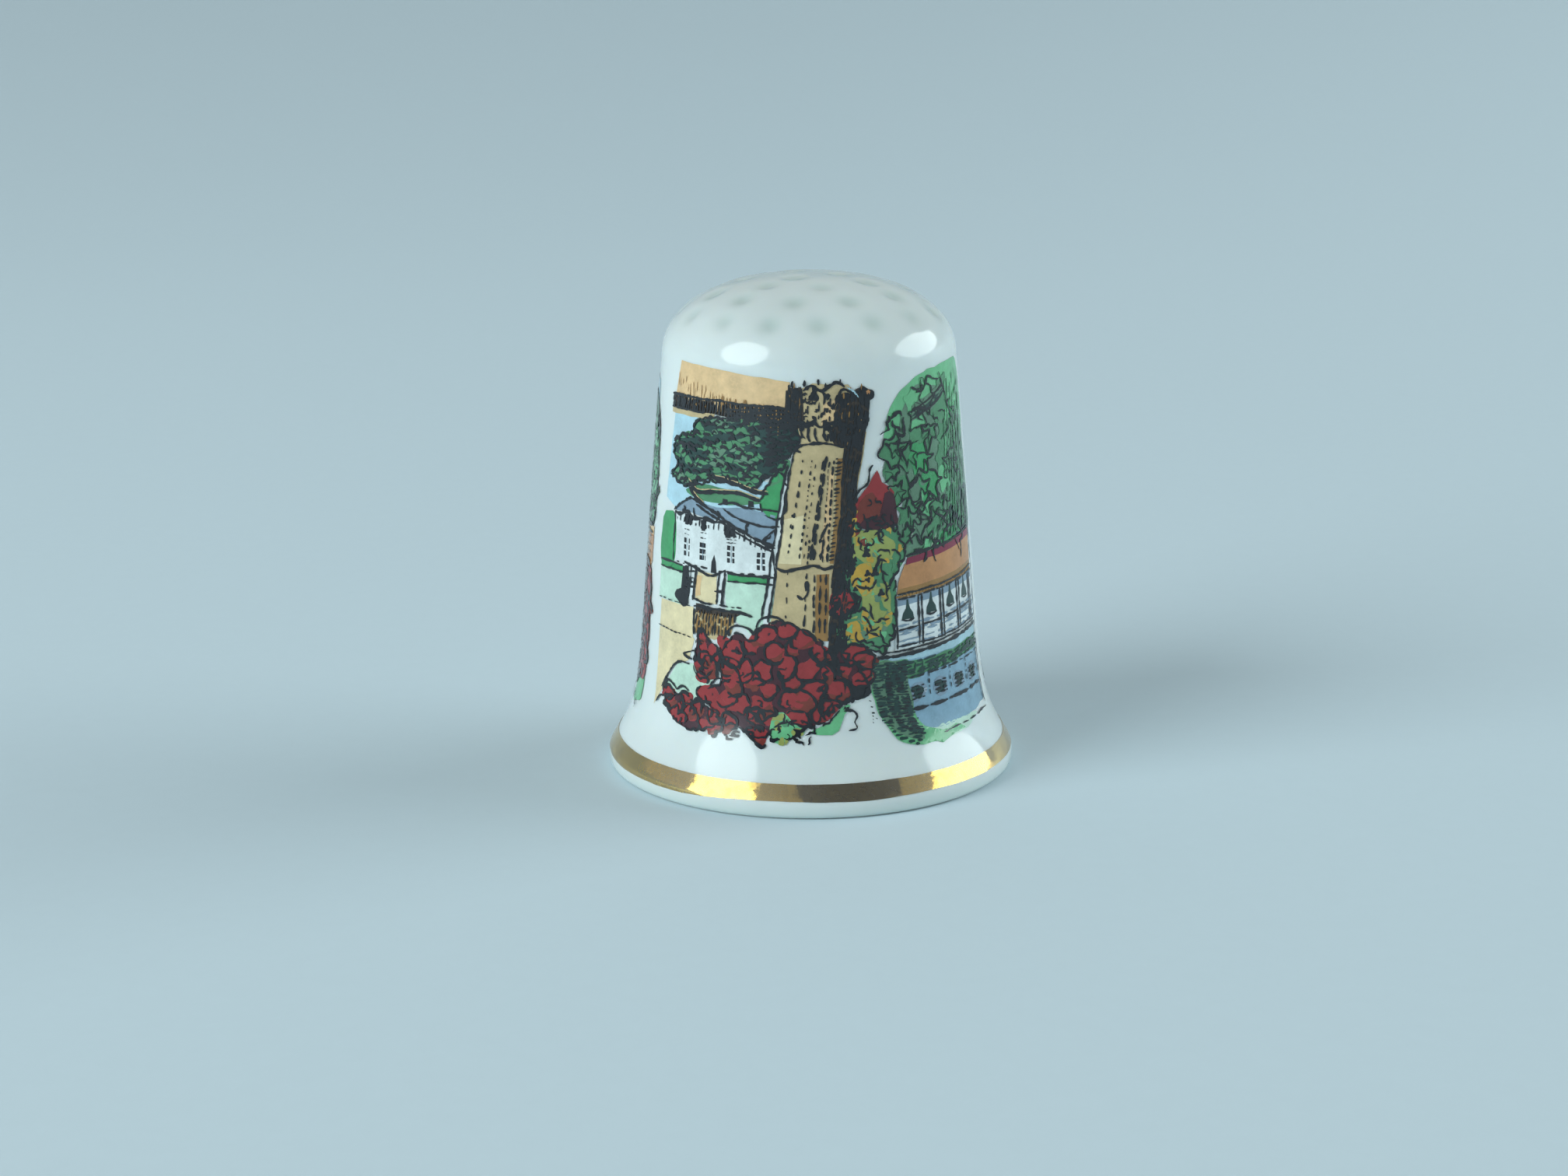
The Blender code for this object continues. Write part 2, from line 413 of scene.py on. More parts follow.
def bone_china():
    """Bone china, slip-cast and dipped in a clear glaze: a white body that light enters a little,
    under a smooth coat that mirrors sharply and stands in very faint waves. A greenish pooled-glaze
    tint darkens the dimples, partly glaze pooling and partly painted shade in the hollows, and darkens
    the lip towards the foot as painted shade. The foot ring is ground bare, and a few kiln specks show."""
    material, shader = new_material("glazed_bone_china")
    place = add(material, "ShaderNodeTexCoord").outputs["Object"]
    pooled = add(material, "ShaderNodeAttribute", {"attribute_name": "pooled"}).outputs["Fac"]
    cloud = ranged(material, pattern(material, place, 5.0), 0.3, 0.7)
    body = mixed(material, cloud, scaled(colours().china, 0.955), colours().china)
    # Painted shade: the pooled tint darkens the dimples (with their pooled glaze) and the lip towards the
    # foot
    body = mixed(material, pooled, body, colours().pooled_glaze)

    specks = add(
        material,
        "ShaderNodeTexVoronoi",
        inputs={"Scale": 1 / (3.6 * MM), "Randomness": 1.0},
        links={"Vector": place},
    )
    near = ranged(material, specks.outputs["Distance"], 0.012, 0.022, 1.0, 0.0)
    pick = add(material, "ShaderNodeSeparateColor", links={"Color": specks.outputs["Color"]})
    chosen = ranged(material, pick.outputs["Red"], 0.80, 0.84)
    body = mixed(material, product(material, near, chosen), body, to_linear("#5D6660"))

    height = add(material, "ShaderNodeSeparateXYZ", links={"Vector": place}).outputs["Z"]
    bare = ranged(material, height, 0.01 * MM, 0.05 * MM, 1.0, 0.0)
    body = mixed(material, bare, body, colours().foot)
    link(material, body, shader, "Base Color")

    shader.inputs["Subsurface Weight"].default_value = 0.25
    shader.inputs["Subsurface Radius"].default_value = (1.0, 0.8, 0.6)
    shader.inputs["Subsurface Scale"].default_value = 0.8 * MM
    shader.inputs["IOR"].default_value = 1.54
    link(material, ranged(material, bare, 0, 1, 0.11, 0.7), shader, "Roughness")
    waves = pattern(material, place, 2.2, detail=1.0)
    grit = ranged(material, pattern(material, place, 0.08), 0.3, 0.7)
    swell = add(
        material,
        "ShaderNodeBump",
        inputs={"Strength": 0.35, "Distance": 0.02 * MM},
        links={"Height": waves},
    )
    ground = add(
        material,
        "ShaderNodeBump",
        inputs={"Distance": 0.01 * MM},
        links={"Height": grit, "Strength": bare, "Normal": swell.outputs["Normal"]},
    )
    link(material, ground.outputs["Normal"], shader, "Normal")
    return material


def bright_gold():
    """Bright gold, painted on the glaze with a brush and fired: a thin true-gold mirror, with fine
    brush ridges round the line, small dull patches where the gold is thin or rubbed, and the slight
    haze of gold that has not been burnished."""
    material, shader = new_material("bright_gold_gilding")
    place = add(material, "ShaderNodeTexCoord").outputs["Object"]
    rubbed = ranged(material, pattern(material, place, 0.9, detail=4.0), 0.45, 0.72)
    colour = mixed(material, rubbed, colours().gold, scaled(colours().gold, 0.6))
    fine = ranged(material, pattern(material, place, 0.16), 0.35, 0.75)
    colour = mixed(material, fine, colour, scaled(colours().gold, 0.85))
    link(material, colour, shader, "Base Color")
    shader.inputs["Metallic"].default_value = 1.0

    # A rough coat over the mirror gives the haze
    shader.inputs["Coat Weight"].default_value = 1.0
    shader.inputs["Coat Roughness"].default_value = 0.6
    shader.inputs["Coat IOR"].default_value = 2.05
    link(material, ranged(material, rubbed, 0, 1, 0.08, 0.24), shader, "Roughness")

    # Brush ridges run round the line, so the pattern is fine up the wall and long round it
    turned = add(
        material,
        "ShaderNodeMapping",
        inputs={"Scale": (0.35, 0.35, 3.0)},
        links={"Vector": place},
    ).outputs["Vector"]
    ridges = pattern(material, turned, 0.35, detail=3.0)
    brushed = add(
        material,
        "ShaderNodeBump",
        inputs={"Strength": 0.5, "Distance": 0.008 * MM},
        links={"Height": ridges},
    )
    dents = add(
        material,
        "ShaderNodeBump",
        inputs={"Strength": 0.5, "Distance": 0.01 * MM},
        links={"Height": pattern(material, place, 0.5), "Normal": brushed.outputs["Normal"]},
    )
    link(material, dents.outputs["Normal"], shader, "Normal")
    return material


def fired_enamel(ink):
    """On-glaze enamel, screen-printed and fired: a glassy colour, a little duller than the glaze,
    that lies thinner in some places than in others and fades out at a wash's edge."""
    material, shader = new_material(f"{ink}_enamel")
    full = getattr(colours(), ink)
    place = add(material, "ShaderNodeTexCoord").outputs["Object"]
    thin, thick = scaled(full, 1.14), scaled(full, 0.86)
    clouds = ranged(material, pattern(material, place, 0.9, detail=4.0), 0.32, 0.68)
    colour = mixed(material, clouds, thin, thick)
    grain = ranged(material, pattern(material, place, 0.14, detail=2.0), 0.35, 0.75)
    colour = mixed(material, grain, colour, full)
    strength = add(material, "ShaderNodeAttribute", {"attribute_name": "strength"}).outputs["Fac"]
    shown = ranged(material, strength, 0.0, 0.9)
    colour = mixed(material, shown, colours().china, colour)
    link(material, colour, shader, "Base Color")
    shader.inputs["IOR"].default_value = 1.5
    shine = pattern(material, place, 0.3)
    link(material, ranged(material, shine, 0.3, 0.7, 0.07, 0.16), shader, "Roughness")
    raised = add(
        material,
        "ShaderNodeBump",
        inputs={"Strength": 0.3, "Distance": 0.006 * MM},
        links={"Height": shine},
    )
    link(material, raised.outputs["Normal"], shader, "Normal")
    return material


def stage_paper():
    """Matt coated paper, rolled out as a sweep: an even pale blue with a very faint fibre cloud."""
    material, shader = new_material("stage_paper")
    place = add(material, "ShaderNodeTexCoord").outputs["Object"]
    fibres = pattern(material, place, 1.2, detail=5.0, roughness=0.7)
    colour = mixed(material, fibres, scaled(colours().paper, 0.985), scaled(colours().paper, 1.015))
    link(material, colour, shader, "Base Color")
    shader.inputs["Roughness"].default_value = 0.85
    shader.inputs["Specular IOR Level"].default_value = 0.2
    return material


# ---------------------------------------------------------------------------------------------
# Flat drawing, in millimetres
# ---------------------------------------------------------------------------------------------


def wobble(point, amount, scale=1.3):
    """A small, repeatable shift that makes a drawn line look like a hand's."""
    shift = noise.noise_vector(Vector((point.x, point.y, 3.7)) * scale)
    return Vector((point.x + shift.x * amount, point.y + shift.y * amount))


def smooth_line(points, spacing):
    """A smooth line through the points, as points no further apart than the spacing."""
    places = [Vector(p) for p in points]
    padded = [places[0], *places, places[-1]]
    line = []
    for before, start, stop, after in zip(padded, padded[1:], padded[2:], padded[3:]):
        count = max(2, math.ceil((stop - start).length / spacing) + 1)
        lead, trail = (stop - before) / 6, (after - start) / 6
        line += interpolate_bezier(start, start + lead, stop - trail, stop, count)[:-1]
    return [p.to_2d() for p in line] + [places[-1]]


def smooth_outline(points, spacing):
    """A smooth closed outline through the points."""
    places = [Vector(p) for p in points]
    outline = []
    for i, start in enumerate(places):
        before, stop = places[i - 1], places[(i + 1) % len(places)]
        after = places[(i + 2) % len(places)]
        count = max(2, math.ceil((stop - start).length / spacing) + 1)
        lead, trail = (stop - before) / 6, (after - start) / 6
        outline += interpolate_bezier(start, start + lead, stop - trail, stop, count)[:-1]
    return [p.to_2d() for p in outline]


def ruled_outline(corners, spacing):
    """A closed outline with straight sides, cut into pieces no longer than the spacing."""
    places = [Vector(p) for p in corners]
    outline = []
    for start, stop in zip(places, places[1:] + places[:1]):
        count = max(1, math.ceil((stop - start).length / spacing))
        outline += [start.lerp(stop, i / count) for i in range(count)]
    return outline


def inside(point, outline):
    """True if the point lies inside the outline."""
    within = False
    for a, b in zip(outline, outline[1:] + outline[:1]):
        if (a[1] > point[1]) != (b[1] > point[1]):
            cross = a[0] + (point[1] - a[1]) / (b[1] - a[1]) * (b[0] - a[0])
            within ^= point[0] < cross
    return within


def crossings(outline, start, direction):
    """Where a line enters and leaves an outline, as pairs of points."""
    side = Vector((-direction.y, direction.x))
    found = []
    for a, b in zip(outline, outline[1:] + outline[:1]):
        a, b = Vector(a), Vector(b)
        da, db = (a - start).dot(side), (b - start).dot(side)
        if (da > 0) != (db > 0):
            found.append((a.lerp(b, da / (da - db)) - start).dot(direction))
    found.sort()
    return [(start + direction * p, start + direction * q) for p, q in zip(found[::2], found[1::2])]


def cut(outline, point, normal):
    """The part of an outline behind a line through the point."""
    kept = []
    for a, b in zip(outline, outline[1:] + outline[:1]):
        da, db = (a - point).dot(normal), (b - point).dot(normal)
        if da <= 0:
            kept.append(a)
        if (da > 0) != (db > 0):
            kept.append(a.lerp(b, da / (da - db)))
    return kept


def softened(cell, gap, rounds=2):
    """Draws a cell in from its neighbours and rounds its corners."""
    centre = sum(cell, Vector((0, 0))) / len(cell)
    shape = [p + (centre - p).normalized() * min(gap, (centre - p).length * 0.6) for p in cell]
    for _ in range(rounds):
        pairs = zip(shape, shape[1:] + shape[:1])
        shape = [p.lerp(q, share) for p, q in pairs for share in (0.25, 0.75)]
    return shape


def pointed(shape, lobes, phase, depth=0.2):
    """Draws an outline out to a point in so many places, and in between them."""
    centre = sum(shape, Vector((0, 0))) / len(shape)
    drawn = []
    for p in shape:
        way = p - centre
        fold = abs(math.sin((math.atan2(way.y, way.x) * lobes + phase) / 2)) ** 0.8
        drawn.append(centre + way * (1 + depth * (1 - 2 * fold)))
    return drawn


class Transfer:
    """A view being drawn: the areas and the pen lines of each enamel."""

    def __init__(self, name, seed):
        self.name = name
        self.dice = random.Random(seed)
        noise.seed_set(seed)  # without a seed of its own, a wobble would differ every time
        self.areas = defaultdict(list)
        self.lines = defaultdict(list)

    def area(self, ink, outline, level, kind, fade=0.0):
        """Adds an area. kind is wash, blob or block, and fade is a share of the soft edge."""
        self.areas[ink].append((kind, [Vector(p) for p in outline], level, fade))

    def wash(self, ink, corners, level=0, waver=0.07, smooth=False, fade=1.0):
        """A flat area, straight-sided or smooth. It fades out over a rim, as a share of the soft edge."""
        shape = (smooth_outline if smooth else ruled_outline)(corners, OUTLINE_STEP)
        self.area(ink, [wobble(p, waver) for p in shape], level, "wash", fade)

    def blob(self, ink, centre, radius, level, stretch=1.0, lobes=5, depth=0.14, turn=0.0):
        """A lobed round, such as a flower head. Returns its outline."""
        phase = self.dice.uniform(0, math.tau)
        shape = []
        for i in range(BLOB_POINTS):
            angle = math.tau * i / BLOB_POINTS
            reach = radius * (1 + depth * math.cos(lobes * angle + phase))
            reach *= 1 + self.dice.uniform(-0.06, 0.06)
            p = Vector((math.cos(angle) * reach * stretch, math.sin(angle) * reach))
            p.rotate(Matrix.Rotation(turn, 2))
            shape.append(p + Vector(centre))
        self.area(ink, shape, level, "blob")
        return shape

    def block(self, ink, corners, level):
        """A small hard-edged area."""
        self.area(ink, [wobble(Vector(p), 0.05) for p in corners], level, "block")

    def pen(self, points, width=1.0, waver=0.05, taper=True, ink="key"):
        """A pen line through the points. width is a share of the pen's own."""
        line = [wobble(wobble(p, waver), 0.022, 8.0) for p in smooth_line(points, LINE_STEP)]
        last = len(line) - 1
        widths = []  # each place's share of the pen: a slow swell, a quick one, and thinner at the ends
        for i, p in enumerate(line):
            swell = 0.8 + 0.6 * noise.noise(Vector((p.x * 2.6, p.y * 2.6, 9.1)))
            swell += 0.55 * noise.noise(Vector((p.x * 9.0, p.y * 9.0, 2.3)))
            ends = min(1.0, 0.4 + 0.35 * min(i, last - i)) if taper else 1.0
            widths.append(width * max(0.35, swell) * ends)
        self.lines[ink].append((line, widths))

    def loop(self, outline, width=1.0, waver=0.05):
        """A closed pen line through the points."""
        self.pen([*outline, outline[0]], width, waver, taper=False)

    def scallops(self, outline, size, width=1.0):
        """A looping pen line round an outline, as the edge of foliage is drawn."""
        points = []
        for a, b in zip(outline, outline[1:] + outline[:1]):
            out = Vector((b.y - a.y, a.x - b.x))
            out = out.normalized() * size * self.dice.uniform(-0.5, 1.0)
            points += [a, a.lerp(b, 0.5) + out]
        run = []
        for p in points:
            run.append(p)
            if len(run) > 3 and self.dice.random() < 0.13:
                self.pen(run, width, 0.08)
                run = []
        if len(run) > 1:
            self.pen(run, width, 0.08)

    def dashes(self, start, stop, dash, gap, width=1.0, ink="key"):
        """A broken line of uneven dashes."""
        start, stop = Vector(start), Vector(stop)
        length = (stop - start).length
        along = (stop - start) / length
        at = 0.0
        while at < length:
            run = min(dash * self.dice.uniform(0.4, 1.6), length - at)
            if run > 0.05:
                self.pen([start + along * at, start + along * (at + run)], width, 0.06, ink=ink)
            at += run + gap * self.dice.uniform(0.5, 1.5)

    def hatch(self, corners, degrees, spacing, width=1.0, dash=2.0, gap=0.1, ink="key"):
        """Strokes across an outline, side by side at that angle."""
        outline = [Vector(p) for p in corners]
        direction = Vector((math.cos(math.radians(degrees)), math.sin(math.radians(degrees))))
        side = Vector((-direction.y, direction.x))
        reach = [p.dot(side) for p in outline]
        at = min(reach) + spacing / 2
        while at < max(reach):
            origin = side * (at + self.dice.uniform(-0.2, 0.2) * spacing)
            for enter, leave in crossings(outline, origin, direction):
                self.dashes(enter, leave, dash, gap, width * self.dice.uniform(0.75, 1.2), ink)
            at += spacing

    def scattered(self, outline, spacing, jitter=0.38):
        """Points inside an outline, about that far apart."""
        across = [p[0] for p in outline]
        up = [p[1] for p in outline]
        found = []
        rows = math.ceil((max(up) - min(up)) / (spacing * ROW_RISE)) + 1
        columns = math.ceil((max(across) - min(across)) / spacing) + 1
        for row in range(rows):
            for column in range(columns):
                x = min(across) + (column + row % 2 / 2 + self.dice.uniform(-jitter, jitter)) * spacing
                y = min(up) + (row * ROW_RISE + self.dice.uniform(-jitter, jitter)) * spacing
                if inside((x, y), outline):
                    found.append(Vector((x, y)))
        return found

    def mosaic(self, outline, spacing, gap, inks, level, stretch=1.0, jag=0.0, fill=1.0, lobes=0):
        """Fills an outline with patches that leave a gap between them, as leaves or petals do, and
        returns them. inks are the colours to draw from, and fill is the share that is drawn. Patches
        are rounded, or with lobes are pointed in so many places."""
        squeezed = [Vector((p[0] / stretch, p[1])) for p in outline]
        seeds = self.scattered(squeezed, spacing, 0.46)
        patches = []
        for seed in seeds:
            if self.dice.random() > fill:
                continue
            cell = squeezed
            for other in seeds:
                way = other - seed
                if 0 < way.length < spacing * 3 and cell:
                    cell = cut(cell, (seed + other) / 2, way.normalized())
            if len(cell) < 3 or max((p - seed).length for p in cell) < spacing * 0.35:
                continue
            widened = [Vector((p.x * stretch, p.y)) for p in cell]
            shape = softened(widened, gap * self.dice.uniform(0.3, 1.7))
            shape = [wobble(p, jag, 3.0) for p in shape]
            if lobes:
                shape = pointed(shape, lobes, self.dice.uniform(0, math.tau))
            self.area(self.dice.choice(inks), shape, level, "blob")
            patches.append(shape)
        return patches

    def squiggle(self, start, length, width=0.9):
        """A short wandering pen mark, such as a stem, a vein or a fold."""
        p = Vector(start)
        heading = self.dice.uniform(0, math.tau)
        points = [p]
        for _ in range(4):
            heading += self.dice.uniform(-1.5, 1.5)
            p = p + Vector((math.cos(heading), math.sin(heading))) * length / 4
            points.append(p)
        self.pen(points, width)


# ---------------------------------------------------------------------------------------------
# Wrapping a flat drawing round the wall
# ---------------------------------------------------------------------------------------------


def wrap(mesh, tops):
    """Wraps a flat mesh (across, up, lift, in millimetres) round the wall, in metres, and gives its
    points the wall's own normals, turned round where tops is 0."""
    flat = np.zeros(len(mesh.vertices) * 3)
    mesh.vertices.foreach_get("co", flat)
    across, up, lift = flat.reshape(-1, 3).T
    angle = across / PRINT_RADIUS - math.pi / 2
    nudge = 0.01
    slope = (outer_radius(up + nudge) - outer_radius(up - nudge)) / (2 * nudge)
    out = 1 / np.sqrt(1 + slope**2)
    radius = outer_radius(up) + lift * out
    height = up - lift * slope * out
    cos, sin = np.cos(angle), np.sin(angle)
    placed = np.stack([radius * cos, radius * sin, height], axis=1) * MM
    mesh.vertices.foreach_set("co", placed.ravel())
    normals = np.stack([out * cos, out * sin, -slope * out], axis=1)
    mesh.update()
    mesh.shade_smooth()
    mesh.normals_split_custom_set_from_vertices(normals * np.where(tops, 1, -1)[:, None])


def lift_of(ink, level):
    """Height of an enamel's top over the glaze. Colours at one level differ by hairs."""
    return FIRST_LIFT + LAYER * level + HAIR * list(ENAMELS).index(ink) + ENAMEL


def add_faces(bm, ink, areas):
    """Makes a face of each outline, at heights that take turns, and returns the faces."""
    faces = []
    for i, (_, outline, level, _) in enumerate(areas):
        lift = lift_of(ink, level) + HAIR * (i % LAP_TURNS)
        points = [bm.verts.new((p.x, p.y, lift)) for p in outline]
        faces.append(bm.faces.new(points))
    return faces


def faded(bm, faces, width, strength):
    """Insets faces, so that the enamel is at full strength inside a rim where it fades."""
    bmesh.ops.inset_individual(bm, faces=faces, thickness=width, use_even_offset=False)
    for face in faces:
        for vert in face.verts:
            vert[strength] = 1.0


def gridded(bm):
    """Cuts every face along a square grid, so that it can bend round the wall."""
    if not bm.verts:
        return
    for axis in (0, 1):
        reach = [vert.co[axis] for vert in bm.verts]
        normal = [0, 0, 0]
        normal[axis] = 1
        first = math.floor(min(reach) / CELL) + 1
        for i in range(first, math.ceil(max(reach) / CELL)):
            geometry = bm.verts[:] + bm.edges[:] + bm.faces[:]
            place = [c * i * CELL for c in normal]
            bmesh.ops.bisect_plane(bm, geom=geometry, dist=1e-5, plane_co=place, plane_no=normal)


def enamel_areas(bm, ink, areas):
    """Makes the areas of one enamel as thin closed slabs, still flat, and returns their undersides."""
    strength = bm.verts.layers.float.new("strength")
    kinds = defaultdict(list)
    for area in areas:
        kinds[area[0], area[3]].append(area)
    edge = sizes().soft_edge / MM
    for (kind, fade), group in kinds.items():
        if kind == "wash":
            faded(bm, add_faces(bm, ink, group), edge * fade, strength)
    gridded(bm)
    blobs = add_faces(bm, ink, kinds["blob", 0.0])
    faded(bm, blobs, edge / 3, strength)
    for middle in bmesh.ops.poke(bm, faces=blobs)["verts"]:
        middle[strength] = 1.0
    for face in add_faces(bm, ink, kinds["block", 0.0]):
        for vert in face.verts:
            vert[strength] = 1.0
    bmesh.ops.triangulate(bm, faces=bm.faces[:])
    bm.normal_update()
    down = [face for face in bm.faces if face.normal.z < 0]
    bmesh.ops.reverse_faces(bm, faces=down)
    extruded = bmesh.ops.extrude_face_region(bm, geom=bm.faces[:], use_keep_orig=True)["geom"]
    lower = [g for g in extruded if isinstance(g, bmesh.types.BMVert)]
    bmesh.ops.translate(bm, verts=lower, vec=(0, 0, -ENAMEL))
    bmesh.ops.reverse_faces(bm, faces=bm.faces[:])  # the extrusion leaves the slabs facing inwards
    return lower


def pen_lines(lines):
    """Pen lines as one mesh of four-sided strokes of changing width, still as deep as they are wide."""
    curve = bpy.data.curves.new("pen_lines", "CURVE")
    curve.dimensions = "3D"
    curve.twist_mode = "Z_UP"
    curve.bevel_depth = sizes().pen_width / MM / 2
    curve.bevel_resolution = 0
    curve.use_fill_caps = True
    for points, widths in lines:
        spline = curve.splines.new("POLY")
        spline.points.add(len(points) - 1)
        for place, p, width in zip(spline.points, points, widths):
            place.co = (p.x, p.y, 0, 1)
            place.radius = width
    holder = bpy.data.objects.new("pen_lines", curve)
    mesh = bpy.data.meshes.new_from_object(holder)
    bpy.data.objects.remove(holder)
    bpy.data.curves.remove(curve)
    return mesh


def add_strokes(bm, ink, lines):
    """Adds an enamel's pen lines on top of its areas, pressed flat until only a low ridge stands."""
    strokes = pen_lines(lines)
    known = len(bm.verts)
    bm.from_mesh(strokes)
    bpy.data.meshes.remove(strokes)
    bm.verts.ensure_lookup_table()
    top, strength = (bm.verts.layers.float[name] for name in ("top", "strength"))
    level = KEY_LAYER if ink == "key" else KEY_LAYER - 1
    for vert in bm.verts[known:]:
        vert[strength] = 1.0
        vert[top] = 1.0 if vert.co.z > -1e-4 else 0.0
        vert.co.z = lift_of(ink, level) + (ENAMEL if vert.co.z > 1e-3 else 0.0)


def lay_enamel(transfer, ink):
    """One enamel of a transfer: its areas and its pen lines, wrapped round the wall."""
    bm = bmesh.new()
    bm.verts.layers.float.new("top")
    lower = set(enamel_areas(bm, ink, transfer.areas[ink]))
    top = bm.verts.layers.float["top"]
    for vert in bm.verts:
        vert[top] = 0.0 if vert in lower else 1.0
    if transfer.lines[ink]:
        add_strokes(bm, ink, transfer.lines[ink])
    name = f"{transfer.name}_{ink}"
    mesh = bpy.data.meshes.new(name)
    bm.to_mesh(mesh)
    bm.free()
    tops = np.zeros(len(mesh.vertices))
    mesh.attributes["top"].data.foreach_get("value", tops)
    wrap(mesh, tops > 0.5)
    mesh.attributes.remove(mesh.attributes["top"])
    material = bpy.data.materials.get(f"{ink}_enamel") or fired_enamel(ink)
    finished(name, mesh, material, transfer.name)


def lay_transfer(transfer):
    """Lays every enamel that the view uses, the key last."""
    for ink in ENAMELS:
        if transfer.areas[ink] or transfer.lines[ink]:
            lay_enamel(transfer, ink)


# ---------------------------------------------------------------------------------------------
# Things that the views share. In the drawing functions t is the transfer that is being drawn.
# ---------------------------------------------------------------------------------------------


def draw_roses(t, outline, spacing, level=3):
    """A mass of rose heads: red patches on a dark ground, some shaded, with pen lines part-way round."""
    t.wash("wine", outline, level, waver=0.15, smooth=True)
    shape = smooth_outline(outline, OUTLINE_STEP)
    for p in t.scattered(shape, spacing, 0.3):
        size = spacing * t.dice.uniform(0.38, 0.62)
        stretch, turn = t.dice.uniform(0.7, 1.45), t.dice.uniform(0, 3.14)
        lobes, depth = t.dice.choice((2, 3, 5)), t.dice.uniform(0.1, 0.2)
        head = t.blob("rose", p, size, level + 1, stretch, lobes, depth, turn)
        tilt = Vector((t.dice.uniform(-0.8, 0.2), 1)).normalized()
        shade = cut(head, p - tilt * size * t.dice.uniform(0.1, 0.6), tilt)
        if len(shade) > 3 and t.dice.random() < 0.7:
            t.area("brick", [wobble(q, 0.2, 4.0) for q in shade], level + 2, "blob")
        first, run = t.dice.randrange(BLOB_POINTS), t.dice.randrange(11, 21)
        edge = [head[(first + i) % BLOB_POINTS] for i in range(0, run, 2)]
        t.pen(edge, t.dice.uniform(0.9, 1.6), 0.12)
        if t.dice.random() < 0.35:
            t.squiggle(p, size, 1.0)
    t.scallops(shape, 0.12, 0.95)


def draw_shrub(t, outline, spacing, inks, level=2, ground="pine", fill=0.9, stretch=1.0, jag=0.08):
    """A leafy mass: leaves on a ground."""
    t.wash(ground, outline, level, waver=0.18, smooth=True)
    shape = smooth_outline(outline, OUTLINE_STEP)
    t.mosaic(shape, spacing, 0.03, inks, level + 1, stretch=stretch, jag=jag, fill=fill)
    return shape


def draw_window(t, x, z, height=0.95, width=0.42, rows=3):
    """A sash window as rows of dark panes, with a light bar down it."""
    rise = height / rows
    for row in range(rows):
        low = z + row * rise
        high = low + rise * 0.74
        panes = [(x - width / 2, low), (x + width / 2, low), (x + width / 2, high), (x - width / 2, high)]
        t.block("key", panes, 4)
    t.pen([(x + width * 0.1, z), (x + width * 0.1, z + height)], 0.22, 0.02, ink="slate")


def draw_clouds(t, places):
    """Small clouds, each a flat lobed round."""
    for p in places:
        t.blob("white", p, 0.55, 2, stretch=2.0, lobes=4, depth=0.1)


def draw_grasses(t, left, spacing):
    """Short marks of grass along the foot of a view."""
    for i in range(24):
        t.squiggle((left + 0.3 + i * spacing, 3.8 + 0.15 * math.sin(i * 1.9)), 0.55, 1.0)


def draw_ring_of_stones(t, inner, outer, inner_width, outer_width):
    """An arch's stones: a line inside, a line outside and the joints between."""
    t.pen(inner, inner_width)
    t.pen(outer, outer_width)
    for start, stop in zip(inner[1:-1], outer[1:-1]):
        t.pen([start, stop], 0.9)


def draw_leaf(t, centre, size, ink, level, lined=True):
    """An ivy leaf with its ribs, hanging more or less point down."""
    half = ((0.0, -1.0), (0.26, -0.45), (0.78, -0.42), (0.52, 0.05), (0.8, 0.6), (0.3, 0.5), (0.0, 0.75))
    turn = Matrix.Rotation(t.dice.uniform(-0.8, 0.8), 2)
    corners = [Vector(p) for p in half] + [Vector((-x, y)) for x, y in half[-2:0:-1]]
    shape = [Vector(centre) + turn @ p * size for p in corners]
    t.area(ink, softened([wobble(p, 0.3, 2.0) for p in shape], 0.0, 1), level, "blob")
    if lined:
        edge = [wobble(p, 0.3, 2.0) for p in ruled_outline(shape, size / 2)]
        t.pen(edge[: t.dice.randrange(len(edge) // 2, len(edge) + 1)], t.dice.uniform(0.65, 0.95), 0.05)
        for i in (0, 2, 10):
            if t.dice.random() < 0.6:
                t.pen([centre, Vector(centre).lerp(shape[i], 0.75)], 0.4, 0.06)


# ---------------------------------------------------------------------------------------------
# The four views
# ---------------------------------------------------------------------------------------------


def draw_portico_view():
    """Front: a portico's beam and column, with a tree, a lodge, a lawn and a bed of roses."""
    t = Transfer("front_print", 7)
    draw_beam(t)
    draw_tree(t)
    draw_lodge(t)
    draw_lawn(t)
    draw_column(t)
    draw_capital(t)
    draw_climber(t)
    draw_rose_bed(t)
    return t


